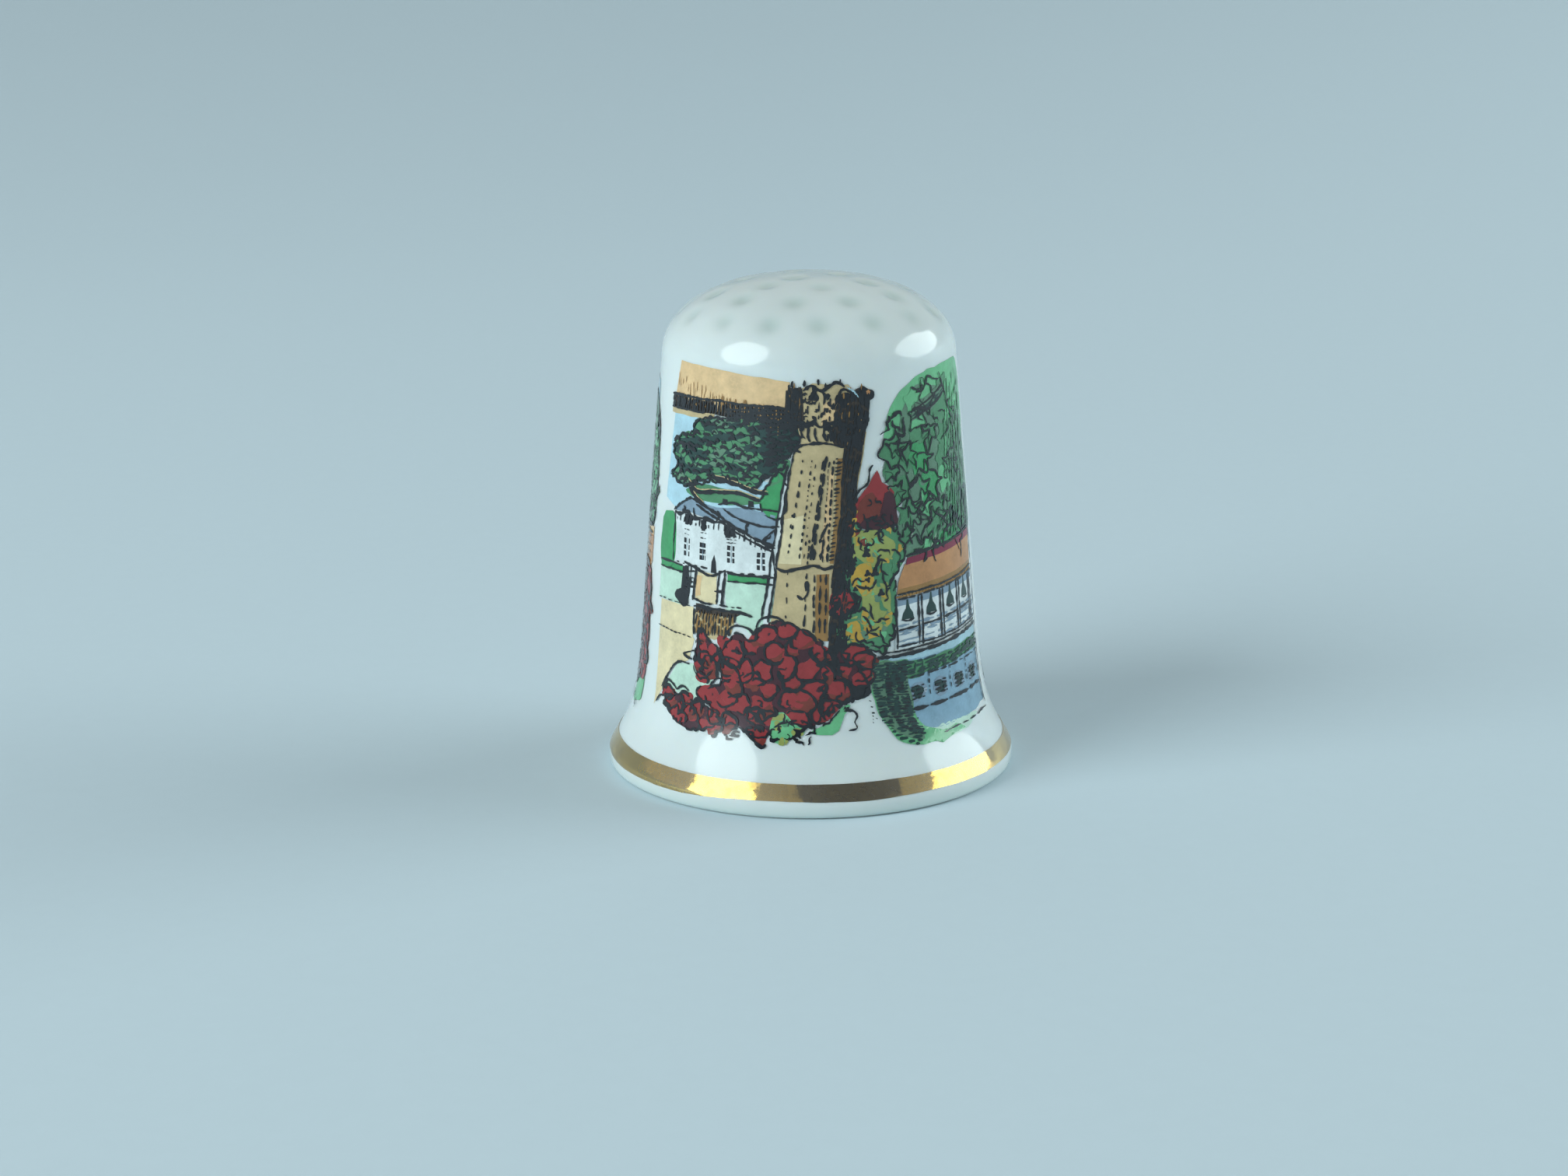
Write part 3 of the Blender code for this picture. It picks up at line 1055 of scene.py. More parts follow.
def draw_beam(t):
    """The portico's beam: a sunlit face over a dark, hatched underside."""
    t.wash("ochre", [
        (-8.65, 20.0), (-8.3, 21.85), (-4.5, 21.65), (-1.0, 21.3), (-1.1, 20.0),
    ], 0, 0.05, fade=3.2)
    for i in range(34):
        x = -8.3 + 0.21 * i + t.dice.uniform(-0.1, 0.1)
        top = 21.3 - t.dice.uniform(0.0, 0.5) - 0.04 * i
        low = top - t.dice.uniform(0.3, 0.9)
        t.pen([(x, top), (x - 0.03, low)], 0.8, ink="ochre" if i < 16 else "umber")
    t.wash("stone", [(-8.95, 19.2), (-8.95, 19.6), (-5.3, 19.5), (-5.5, 19.15)], 1)
    shade = [
        (-8.9, 19.5), (-8.85, 20.05), (-4.5, 20.1), (-1.3, 20.0), (-1.2, 20.9), (-0.4, 21.1),
        (-0.4, 18.9), (-2.6, 19.3), (-6.0, 19.5),
    ]
    t.wash("sepia", shade, 2, 0.08)
    t.hatch(shade, 88, 0.19, 1.25, 0.5, 0.06)
    t.hatch([(-4.6, 19.2), (-4.6, 20.0), (-0.5, 20.0), (-0.4, 19.0)], 4, 0.2, 1.3, 0.9, 0.08)
    for p in t.scattered(shade, 0.55):
        t.pen([p, p + Vector((0.0, 0.3))], 0.7, ink="umber")
    t.pen([(-8.9, 20.12), (-6.0, 20.16), (-3.5, 20.1), (-1.2, 20.02)], 1.1)
    t.pen([(-8.9, 19.5), (-7.4, 19.48), (-6.0, 19.5)], 1.0)


def draw_tree(t):
    """The sky, a broad dark tree on low branches, and a bright shrub beside the column."""
    t.wash("sky", [
        (-8.75, 18.0), (-8.6, 19.3), (-5.4, 19.4), (-5.0, 18.2), (-7.0, 17.4),
    ], 0, 0.05, fade=2.0)
    t.wash("sky", [
        (-9.0, 14.9), (-8.75, 18.0), (-7.0, 17.6), (-2.2, 16.4), (-1.2, 16.8), (-1.7, 14.6), (-8.0, 14.5),
    ], 1)
    crown = [
        (-8.5, 17.9), (-7.8, 18.25), (-7.0, 18.45), (-6.3, 19.15), (-4.6, 19.35), (-2.6, 19.5),
        (-0.5, 19.3), (-0.5, 18.4), (-1.05, 17.7), (-1.4, 17.0), (-2.3, 16.6), (-3.0, 16.0),
        (-4.6, 16.25), (-5.8, 16.0), (-7.2, 15.75), (-8.6, 16.05), (-8.0, 16.7), (-8.5, 17.2),
    ]
    t.wash("pine", crown, 2, waver=0.25, smooth=True)
    shape = smooth_outline(crown, OUTLINE_STEP)
    west = [p for p in crown if p[0] < -1.4] + [(-2.0, 18.9)]
    t.mosaic(west, 0.32, 0.035, ["leaf", "leaf", "moss"], 3, stretch=2.1, jag=0.12, fill=0.72)
    for p in t.scattered(shape, 0.4):
        reach = t.dice.uniform(0.2, 0.55)
        rise = t.dice.uniform(-0.14, 0.14)
        t.pen([p, p + Vector((reach * 0.5, rise + 0.1)), p + Vector((reach, rise))], 1.25, 0.08)
    t.scallops(shape, 0.2, 1.05)
    t.hatch([
        (-2.2, 16.9), (-2.3, 19.3), (-0.6, 19.2), (-0.7, 18.3), (-1.3, 17.0),
    ], 12, 0.24, 1.6, 0.7, 0.06)
    t.wash("leaf", [
        (-7.2, 15.55), (-5.6, 15.95), (-3.0, 15.75), (-2.5, 15.3), (-4.6, 15.1), (-6.2, 15.2),
    ], 2, smooth=True)
    for branch in (
        [(-7.0, 16.0), (-6.2, 15.55), (-5.0, 15.7), (-3.7, 15.75), (-2.5, 15.45)],
        [(-5.4, 16.35), (-4.2, 16.25), (-3.0, 15.95), (-2.1, 15.8)],
        [(-6.9, 15.7), (-6.3, 15.25), (-5.8, 14.95)],
    ):
        t.pen(branch, 1.5)
        t.pen([(x, z + 0.13) for x, z in branch], 0.5, ink="stone")
    clump = [(-2.35, 14.85), (-2.4, 15.9), (-1.6, 16.9), (-1.15, 16.2), (-1.35, 14.7)]
    t.wash("grass", clump, 3, 0.15, smooth=True)
    t.scallops(smooth_outline(clump, OUTLINE_STEP), 0.12, 0.9)
    t.wash("leaf", [(-2.2, 16.2), (-1.5, 17.3), (-1.0, 17.5), (-1.2, 16.6)], 3, smooth=True)


def draw_lodge(t):
    """A low white house under a slate roof, with chimneys, sash windows and plants under the eaves."""
    roof = [
        (-8.05, 14.4), (-6.75, 15.15), (-5.0, 14.9), (-3.4, 15.05), (-1.6, 14.75), (-1.75, 13.2),
        (-4.4, 14.2),
    ]
    t.wash("slate", roof, 3, 0.03)
    walls = [
        (-7.9, 11.7), (-7.95, 14.35), (-6.8, 14.45), (-5.4, 14.3), (-4.2, 14.25), (-1.85, 13.25),
        (-1.75, 11.7),
    ]
    t.wash("white", walls, 4, 0.02)
    t.pen([(-8.1, 14.4), (-7.4, 14.85), (-6.75, 15.2), (-6.2, 15.0)], 1.05)
    t.pen([(-6.5, 15.2), (-5.2, 14.7), (-3.6, 13.95), (-1.7, 13.15)], 1.5)
    t.pen([(-6.3, 14.9), (-5.0, 14.4), (-3.6, 13.75), (-1.75, 12.95)], 1.0)
    t.pen([(-4.6, 14.9), (-3.5, 14.45), (-2.4, 14.2), (-1.5, 14.25)], 1.0)
    t.pen([(-4.9, 15.05), (-4.1, 15.25), (-3.2, 15.05), (-1.5, 15.0)], 0.9)
    t.pen([(-1.7, 13.3), (-2.3, 13.5), (-1.7, 14.1)], 0.8)
    for x, z in ((-4.5, 15.1), (-3.0, 15.1)):
        t.block("key", [(x - 0.16, z), (x - 0.13, z + 0.32), (x + 0.15, z + 0.3), (x + 0.17, z)], 5)
    for x, z in ((-7.5, 14.2), (-6.1, 14.2), (-4.9, 14.15), (-3.2, 13.75), (-2.4, 13.35)):
        t.squiggle((x, z), 0.7, 1.1)
    t.pen([
        (-8.0, 14.35), (-7.5, 14.25), (-7.0, 14.4), (-6.4, 14.2), (-5.7, 14.35), (-5.0, 14.15),
        (-4.3, 14.25),
    ], 1.5, 0.1)
    for x, z, drop in (
        (-6.95, 14.3, 0.5), (-6.7, 14.2, 0.25), (-5.75, 14.2, 0.55), (-4.25, 14.1, 0.6),
        (-4.0, 14.0, 0.4),
    ):
        t.blob("key", (x, z - drop / 2), 0.24, 5, stretch=0.8, lobes=3, depth=0.25)
        t.block("key", [(x - 0.2, z), (x + 0.2, z), (x + 0.1, z - drop), (x - 0.12, z - drop)], 6)
    for x, low in ((-6.9, 12.25), (-5.75, 12.2), (-4.05, 12.25), (-2.4, 12.05)):
        draw_window(t, x, low)
    for x in (-6.9, -5.75, -4.05):
        t.dashes((x - 0.16, 13.55), (x + 0.2, 13.55), 0.16, 0.1, 0.8)
        t.dashes((x - 0.16, 13.3), (x + 0.2, 13.3), 0.16, 0.1, 0.6)
    t.hatch([(-4.3, 13.2), (-4.3, 13.7), (-3.75, 13.7), (-3.75, 13.2)], 0, 0.16, 0.8, 0.3, 0.06)
    t.block("key", [(-5.2, 11.65), (-5.15, 12.2), (-5.0, 12.55), (-4.88, 12.2), (-4.85, 11.65)], 5)
    t.pen([(-7.95, 14.3), (-7.98, 13.0), (-7.95, 11.8)], 0.8)
    t.pen([(-1.8, 13.1), (-1.75, 12.4), (-1.7, 11.8)], 0.8)
    t.dashes((-7.6, 11.85), (-2.0, 11.8), 0.3, 0.3, 1.0)
    t.hatch([
        (-7.8, 13.9), (-7.8, 14.3), (-4.4, 14.2), (-2.0, 13.3), (-2.0, 12.9), (-4.4, 13.8),
    ], 85, 0.3, 0.8, 0.3, 0.2)


def draw_lawn(t):
    """The lawn, its hedge, the gate and the garden wall with its steps."""
    t.wash("grass", [
        (-9.2, 11.6), (-9.2, 13.8), (-8.6, 14.25), (-7.95, 14.0), (-7.9, 11.7),
    ], 5, smooth=True, fade=1.6)
    t.wash("mint", [(-9.25, 9.7), (-9.25, 11.4), (-7.0, 11.4), (-7.0, 9.7)], 0, fade=1.5)
    t.wash("mint", [(-4.25, 9.8), (-4.3, 11.4), (-1.7, 11.4), (-1.9, 9.0), (-2.9, 8.8)], 0)
    for left, right in ((-9.2, -7.1), (-4.2, -1.75)):
        t.wash("grass", [(left, 11.35), (left, 11.7), (right, 11.7), (right, 11.35)], 1, 0.03, fade=0.5)
        t.pen([(left, 11.75), (right, 11.72)], 0.95)
        t.pen([(left, 11.38), (right, 11.36)], 0.85)
    t.wash("cream", [(-6.15, 10.1), (-6.05, 11.6), (-4.85, 11.6), (-4.75, 10.1)], 0)
    t.wash("ochre", [(-6.15, 10.3), (-6.1, 11.4), (-5.75, 11.4), (-5.8, 10.4)], 1, fade=1.5)

    # Gate: an urn on a pier in the shade, and two light posts
    t.wash("key", [(-7.15, 10.2), (-7.1, 11.9), (-6.7, 11.9), (-6.6, 10.2)], 3, 0.12, fade=0.4)
    t.blob("key", (-7.05, 10.15), 0.46, 4, stretch=1.2, lobes=3)
    t.hatch([(-7.0, 10.6), (-6.9, 11.9), (-6.1, 11.9), (-6.2, 10.6)], 10, 0.26, 0.9, 0.5, 0.15)
    for x in (-6.4, -4.6):
        t.wash("white", [
            (x - 0.14, 10.1), (x - 0.05, 11.8), (x + 0.25, 11.8), (x + 0.12, 10.1),
        ], 3, 0.03, fade=0.3)
        t.pen([(x - 0.16, 10.1), (x - 0.06, 11.85)], 1.0)
        t.pen([(x + 0.14, 10.1), (x + 0.27, 11.85)], 1.1)
        t.pen([(x - 0.3, 10.75), (x + 0.3, 10.8)], 1.2)
    t.pen([(-7.0, 11.95), (-6.2, 11.75), (-5.2, 11.5), (-4.3, 11.9)], 1.1)
    t.pen([(-6.2, 10.2), (-5.6, 10.05), (-5.0, 10.1)], 1.0)
    t.dashes((-4.6, 10.1), (-3.4, 10.05), 0.4, 0.1, 0.9)

    # Low wall, steps and the near lawn
    t.wash("cream", [(-8.95, 8.3), (-8.95, 9.65), (-6.25, 9.75), (-6.2, 8.2)], 0, fade=1.5)
    t.wash("cream", [
        (-8.85, 4.2), (-8.95, 8.25), (-6.1, 8.2), (-6.4, 7.0), (-7.5, 6.6), (-8.2, 5.3),
    ], 0, fade=1.8)
    t.wash("stone", [(-6.1, 8.5), (-6.1, 9.7), (-3.6, 9.7), (-3.9, 8.7), (-4.8, 8.3)], 1)
    t.hatch([(-6.0, 8.5), (-6.0, 9.6), (-3.7, 9.6), (-4.0, 8.6)], 88, 0.16, 1.0, 0.6, 0.1, ink="umber")
    t.wash("sepia", [(-6.1, 9.5), (-6.1, 9.95), (-3.2, 9.85), (-3.7, 9.5)], 2, 0.1, fade=0.5)
    t.hatch([(-6.1, 8.4), (-6.1, 9.7), (-3.6, 9.7), (-3.9, 8.6)], 87, 0.2, 0.95, 0.45, 0.14)
    t.pen([(-6.2, 9.8), (-4.6, 9.85), (-2.8, 9.75)], 1.3, 0.08)
    t.dashes((-9.1, 9.75), (-6.3, 9.8), 0.5, 0.2, 0.7)
    t.dashes((-9.0, 8.32), (-6.2, 8.2), 0.2, 0.1, 0.85)
    t.pen([(-6.15, 9.7), (-6.1, 8.4)], 1.1)
    t.wash("mint", [
        (-8.1, 5.3), (-7.1, 6.75), (-5.9, 6.9), (-4.9, 6.8), (-4.9, 5.7), (-5.6, 5.1), (-6.6, 5.2),
    ], 1)
    t.pen([(-8.3, 5.25), (-7.8, 6.0), (-7.1, 6.8), (-6.3, 6.85)], 1.0)
    t.pen([(-6.0, 7.6), (-6.7, 7.3), (-6.1, 7.1)], 0.9)
    t.pen([(-8.6, 4.4), (-8.3, 4.8), (-7.9, 4.85)], 1.0)


def draw_column(t):
    """The shaft, its joint and flutes, and its dark side."""
    t.wash("stone", [
        (1.3, 8.6), (1.6, 11.4), (2.2, 14.8), (3.05, 18.8), (2.4, 18.6), (1.0, 9.0),
    ], 1, 0.05, fade=1.5)
    shaft = [
        (-2.0, 8.6), (-1.75, 10.5), (-1.5, 13.0), (-1.15, 16.2), (-0.8, 17.8), (-0.4, 18.25),
        (0.6, 18.35), (1.8, 18.1), (1.6, 16.0), (1.15, 12.4), (0.9, 8.6),
    ]
    t.wash("stone", shaft, 3, 0.04, fade=0.5)
    t.wash("cream", [(-1.5, 12.4), (-1.3, 14.6), (-0.3, 14.8), (-0.4, 12.4)], 4, 0.05, fade=3.0)
    t.wash("umber", [
        (0.95, 12.4), (1.3, 15.0), (1.45, 17.6), (1.8, 17.6), (1.6, 15.0), (1.15, 12.4),
    ], 4, 0.06, fade=1.2)
    t.wash("umber", [(0.2, 8.6), (0.3, 11.9), (0.95, 11.9), (0.85, 8.6)], 4, 0.06, fade=1.0)
    t.wash("ochre", [
        (0.45, 12.6), (0.8, 15.0), (1.1, 17.0), (1.3, 17.0), (1.1, 14.6), (0.8, 12.6),
    ], 5, 0.08, fade=1.4)
    pale = [
        (-2.25, 9.4), (-1.95, 12.2), (-1.35, 16.3), (-1.0, 17.2), (-1.15, 16.0), (-1.75, 11.6),
        (-2.0, 9.4),
    ]
    t.wash("white", pale, 4, 0.03, fade=0.5)
    dark = [
        (0.85, 8.0), (1.1, 12.0), (1.6, 15.4), (1.8, 18.4), (2.95, 18.9), (2.6, 17.0), (2.3, 14.8),
        (2.1, 12.8), (1.9, 11.0), (1.7, 8.0),
    ]
    t.wash("sepia", dark, 5, 0.12, fade=0.6)
    t.hatch(dark, 79, 0.17, 1.35, 0.7, 0.1)
    t.hatch([
        (1.1, 9.6), (1.2, 12.0), (1.75, 14.8), (2.1, 14.6), (1.55, 11.5), (1.35, 9.6),
    ], 5, 0.24, 1.0, 0.4, 0.1)
    t.pen([(-2.0, 9.5), (-1.75, 11.4), (-1.5, 13.3), (-1.15, 16.2), (-0.8, 17.8)], 1.05, 0.07)
    t.pen([(-0.8, 17.8), (-0.5, 18.2), (0.1, 18.3), (1.0, 18.3), (1.8, 18.1)], 1.3, 0.07)
    t.pen([(-2.3, 9.7), (-1.95, 12.2), (-1.4, 15.9), (-1.1, 17.3)], 0.95, 0.06)
    t.pen([
        (-1.65, 12.2), (-1.2, 12.05), (-0.5, 12.2), (0.2, 12.35), (0.7, 12.15), (1.2, 12.3),
    ], 1.35, 0.08)
    t.dashes((-1.05, 12.9), (-0.35, 17.5), 0.2, 0.3, 1.25)
    t.dashes((-0.95, 14.2), (-0.5, 16.5), 0.14, 0.4, 1.1)
    t.dashes((-0.5, 12.7), (0.12, 17.5), 0.18, 0.14, 1.15)
    t.dashes((-0.28, 12.7), (0.3, 17.3), 0.14, 0.3, 1.0)
    t.dashes((-0.1, 12.4), (0.0, 13.6), 0.3, 0.1, 1.0)
    for shift in (0.0, 0.12):
        t.dashes((0.05 + shift, 12.6), (0.72 + shift, 17.7), 0.6, 0.14, 1.35)
    t.dashes((0.6, 12.5), (1.02, 17.5), 0.2, 0.12, 1.0)
    t.dashes((0.82, 12.5), (1.25, 17.5), 0.3, 0.1, 1.2)
    t.hatch([(0.9, 12.5), (1.2, 15.0), (1.35, 17.6), (1.75, 17.6), (1.15, 12.5)], 12, 0.2, 1.0, 0.3, 0.1)
    t.pen([(0.5, 12.6), (0.7, 13.6), (0.5, 13.5), (0.9, 14.4)], 1.1)
    t.dashes((-0.3, 9.3), (-0.15, 12.0), 0.4, 0.2, 1.1)
    t.dashes((-1.2, 9.3), (-1.05, 12.0), 0.2, 0.4, 1.0)
    for foot, head in ((0.15, 0.2), (0.42, 0.5), (0.7, 0.8)):
        t.dashes((foot, 9.0), (head, 11.9), 0.5, 0.12, 1.0)
    t.pen([(-0.6, 10.9), (-0.35, 10.7), (-0.1, 11.0), (-0.15, 11.6)], 1.1)


def draw_capital(t):
    """A carved capital: leaf scrolls under a square block, mostly in the shade."""
    t.wash("stone", [
        (-0.4, 18.2), (-0.6, 19.2), (-0.7, 20.9), (0.2, 21.2), (2.1, 21.1), (2.6, 20.3), (1.7, 18.2),
    ], 3, 0.08, fade=0.7)
    t.wash("ochre", [(0.65, 19.2), (0.75, 20.3), (1.35, 20.4), (1.5, 19.3)], 4, fade=1.2)
    t.wash("sepia", [
        (-1.25, 20.0), (-1.05, 21.1), (-0.35, 21.0), (-0.3, 19.2), (-0.7, 18.9),
    ], 4, 0.12, fade=0.4)
    shade = [
        (1.3, 18.3), (1.3, 19.2), (1.5, 20.3), (2.2, 20.7), (2.9, 20.9), (3.35, 20.6), (3.25, 19.9),
        (3.0, 18.8), (2.7, 18.0),
    ]
    t.wash("sepia", shade, 4, 0.15, smooth=True, fade=0.4)
    t.hatch(shade, 84, 0.19, 1.5, 0.5, 0.1)
    t.hatch([(-1.2, 19.0), (-1.1, 21.2), (-0.4, 21.1), (-0.4, 19.0)], 86, 0.17, 1.3, 0.5, 0.12)
    for x, z, r in (
        (3.05, 20.55, 0.44), (0.25, 20.6, 0.26), (1.8, 20.4, 0.36), (2.75, 19.3, 0.4), (0.95, 19.1, 0.22),
    ):
        t.blob("key", (x, z), r, 6, lobes=3, depth=0.22)
    t.blob("terracotta", (3.2, 20.7), 0.11, 7)
    for p in t.scattered([(-0.5, 19.2), (-0.4, 20.9), (1.4, 21.0), (1.5, 19.2)], 0.42):
        t.squiggle(p, 0.35, t.dice.uniform(0.9, 1.6))
    for p in t.scattered(shade, 0.6):
        t.pen([p, p + Vector((0.02, 0.3))], 0.8, ink="umber")
    t.pen([(-0.3, 20.9), (0.1, 21.1), (0.6, 20.85), (1.1, 21.1), (1.5, 21.25), (1.9, 21.0)], 1.4, 0.1)
    t.pen([(0.0, 20.4), (0.35, 20.9), (0.8, 20.7), (0.75, 20.2)], 1.2)
    t.pen([(1.35, 20.1), (1.7, 20.85), (2.2, 20.75), (2.5, 20.3)], 1.2)
    t.pen([(2.0, 21.0), (2.4, 20.75), (2.65, 20.45)], 0.8, ink="mist")
    for x in (-0.15, 0.45, 0.75, 1.05, 1.3):
        t.dashes((x, 19.1), (x + 0.08, 20.5), 0.32, 0.2, 1.0)
    t.pen([
        (-0.5, 19.3), (-0.2, 19.15), (0.2, 19.35), (0.7, 19.1), (1.4, 19.3), (2.2, 19.1), (3.1, 19.1),
    ], 1.5, 0.12)
    for x in (-0.1, 0.3, 0.8, 1.15):
        t.pen([(x + 0.05, 19.1), (x, 18.7), (x + 0.12, 18.4)], 1.3, 0.1)
    t.hatch([(0.9, 18.4), (1.0, 19.2), (2.9, 19.2), (2.7, 18.3)], 80, 0.17, 1.5, 0.5, 0.1)
    for x in (-0.9, -0.25, 0.5, 1.6):
        t.pen([(x, 21.1), (x + 0.05, 21.4)], 1.2, 0.1)


def draw_climber(t):
    """A climbing plant on the column's far side, turning yellow, with two red flowers."""
    mass = [
        (2.2, 14.4), (2.7, 13.9), (3.3, 14.2), (4.1, 14.1), (4.8, 13.5), (4.9, 12.5), (4.4, 11.7),
        (4.35, 10.6), (4.3, 9.5), (4.1, 8.4), (3.4, 7.8), (2.5, 8.3), (1.5, 8.3), (1.3, 9.3), (2.0, 9.9),
        (2.4, 10.5), (1.9, 11.2), (1.7, 11.9), (2.1, 12.5), (1.9, 13.2),
    ]
    t.wash("pine", [
        (1.6, 10.2), (1.8, 13.4), (2.6, 13.8), (3.4, 12.6), (3.6, 10.4), (2.6, 9.8),
    ], 5, 0.2, smooth=True)
    t.wash("leaf", mass, 6, 0.25, smooth=True, fade=1.5)
    for core, ink in (
        ([(2.3, 13.9), (3.6, 13.8), (4.3, 13.0), (3.9, 12.2), (2.9, 12.2), (2.2, 13.0)], "olive"),
        ([(2.2, 12.2), (3.0, 12.3), (3.3, 11.4), (2.9, 10.7), (2.1, 11.4)], "marigold"),
        ([(2.6, 10.9), (3.6, 11.4), (4.0, 10.4), (3.9, 9.2), (3.0, 8.9), (2.5, 9.8)], "olive"),
        ([(1.7, 9.4), (3.0, 9.6), (3.4, 8.8), (2.6, 8.5), (1.7, 8.7)], "marigold"),
    ):
        t.wash(ink, core, 7, 0.3, smooth=True, fade=2.0)
    shape = smooth_outline(mass, OUTLINE_STEP)
    inks = ["marigold", "olive", "leaf", "sprig", "moss"]
    t.mosaic(shape, 0.36, 0.03, inks, 8, stretch=0.85, jag=0.3, fill=0.42, lobes=3)
    t.scallops(shape, 0.2, 1.15)
    for p in t.scattered(shape, 0.72):
        t.squiggle(p, 0.9, 1.0)
    for p in t.scattered([(1.9, 10.6), (2.1, 13.2), (3.4, 13.2), (3.6, 10.6)], 0.75):
        t.blob("key", p, t.dice.uniform(0.1, 0.22), 8, lobes=3, depth=0.3)
    for p in ((2.7, 13.4), (2.3, 13.9), (2.0, 14.1)):
        t.blob("brick", p, 0.19, 8, lobes=3)
    for p in ((2.25, 14.5), (2.3, 14.9), (2.15, 13.8)):
        t.blob("marigold", p, 0.13, 8, lobes=3)
    flower = [
        (2.3, 14.3), (2.45, 15.4), (3.0, 16.2), (3.5, 16.75), (3.8, 16.2), (4.6, 15.7), (4.4, 14.9),
        (4.4, 14.2), (3.5, 13.9),
    ]
    t.wash("rose", flower, 5, 0.2, smooth=True, fade=0.5)
    t.wash("brick", [
        (2.5, 14.3), (2.6, 15.4), (3.2, 15.9), (3.7, 15.1), (3.9, 14.1),
    ], 6, 0.2, smooth=True, fade=1.5)
    t.wash("wine", [(3.6, 14.1), (3.6, 14.8), (3.9, 15.7), (4.6, 15.6), (4.6, 14.0)], 7, 0.2, smooth=True)
    t.wash("wine", [(2.4, 14.2), (2.8, 14.6), (3.6, 14.6), (3.6, 13.9)], 7, 0.2, smooth=True)
    t.pen([(2.3, 15.3), (2.5, 15.9), (3.0, 16.3), (3.1, 16.9), (3.3, 17.1)], 0.9, 0.1)
    for i in range(7):
        t.squiggle((2.7 + 0.25 * i, 14.8 + 0.4 * math.sin(i * 2.0)), 0.6, 0.9)
    t.blob("rose", (1.5, 10.45), 0.62, 8, lobes=5, depth=0.08)
    t.blob("brick", (1.62, 10.25), 0.4, 8, lobes=4, depth=0.2)
    t.loop([
        (0.95, 10.5), (1.2, 10.95), (1.7, 11.1), (2.1, 10.8), (2.15, 10.3), (1.7, 9.85), (1.2, 9.9),
    ], 1.0, 0.12)


def draw_rose_bed(t):
    """A bed of roses along the foot, with leaves and fallen petals under it."""
    wedge = [
        (0.5, 6.6), (1.0, 8.3), (1.5, 8.4), (2.6, 6.6), (2.7, 5.9), (2.2, 5.6), (1.3, 5.3), (0.6, 4.9),
    ]
    t.wash("key", wedge, 3, 0.3, smooth=True, fade=0.5)
    t.scallops(smooth_outline(wedge, OUTLINE_STEP), 0.25, 1.2)
    bed = [
        (-5.1, 5.8), (-4.4, 6.3), (-4.3, 7.9), (-3.6, 8.8), (-2.8, 8.5), (-2.3, 9.3), (-1.6, 9.6),
        (-0.8, 9.4), (-0.3, 9.0), (0.6, 8.5), (0.8, 7.4), (1.5, 6.7), (1.6, 6.1), (1.1, 5.6), (0.6, 4.9),
        (0.0, 4.3), (-0.9, 4.6), (-1.5, 4.4), (-2.0, 3.8), (-2.7, 3.8), (-3.6, 4.2), (-4.3, 4.1),
        (-4.5, 4.8), (-5.1, 5.1),
    ]
    draw_roses(t, bed, 0.98, 3)
    row = [
        (-8.0, 5.2), (-7.6, 5.5), (-7.0, 5.1), (-6.4, 5.4), (-5.9, 5.0), (-5.3, 5.0), (-4.5, 4.7),
        (-4.3, 4.2), (-4.9, 3.9), (-5.5, 3.6), (-6.4, 3.7), (-7.2, 4.1), (-7.8, 4.6),
    ]
    draw_roses(t, row, 0.62, 3)
    side = [
        (-5.9, 8.3), (-5.5, 8.6), (-5.1, 8.2), (-4.6, 7.9), (-4.5, 7.2), (-5.0, 6.6), (-5.6, 6.2),
        (-6.0, 6.8),
    ]
    draw_roses(t, side, 0.66, 4)
    end = [(1.3, 7.9), (1.6, 8.35), (2.3, 8.3), (2.9, 8.0), (3.0, 7.1), (2.4, 6.5), (1.5, 6.7)]
    draw_roses(t, end, 0.95, 4)
    for arch in (
        [(-8.1, 5.2), (-7.8, 5.7), (-7.3, 5.6), (-7.0, 5.4), (-6.6, 5.65), (-6.2, 5.5)],
        [(-2.6, 9.2), (-2.3, 9.65), (-1.7, 9.75), (-1.2, 9.5)],
        [(-4.3, 8.4), (-3.8, 9.1), (-3.1, 9.1), (-2.7, 8.8)],
        [(-5.0, 6.0), (-4.5, 6.45), (-3.9, 6.3)],
    ):
        t.pen(arch, 1.0, 0.06)
    leaves = [(-1.8, 3.9), (-1.75, 4.8), (-1.3, 5.0), (-0.8, 4.6), (-0.2, 4.1), (-0.9, 3.7), (-1.4, 3.4)]
    draw_shrub(t, leaves, 0.42, ["sprig", "olive", "leaf"], 6, "sprig", jag=0.15)
    spray = [(0.1, 4.1), (0.8, 4.5), (1.3, 5.1), (1.7, 5.2), (1.4, 4.4), (0.8, 3.9)]
    t.wash("sprig", spray, 5, 0.3, smooth=True, fade=2.0)
    t.scallops(smooth_outline(spray, OUTLINE_STEP)[2:9], 0.15, 0.8)
    for i in range(13):
        t.squiggle((-4.4 + i * 0.38, 3.85 - 0.2 * math.sin(i * 0.9)), 0.55, 1.1)
    for p in t.scattered([(-1.8, 3.6), (-1.7, 4.7), (0.6, 4.6), (0.3, 3.7)], 0.5):
        t.squiggle(p, 0.5, 1.0)
    t.pen([(1.5, 5.0), (1.9, 5.05), (2.15, 4.8), (2.0, 4.5), (2.1, 4.2), (1.7, 4.1)], 0.95, 0.08)
    for i in range(4):
        t.pen([(2.85, 4.9 - 0.16 * i), (2.9, 4.83 - 0.16 * i)], 0.9)


def draw_pool_view():
    """Right: a leafy bough over a tiled roof and a white arcade beside a pool."""
    t = Transfer("right_print", 11)
    draw_bough(t)
    draw_arcade(t)
    draw_pool(t)
    t.pen([(10.95, 3.6), (10.9, 8.0), (10.95, 12.8)], 1.1)
    return t


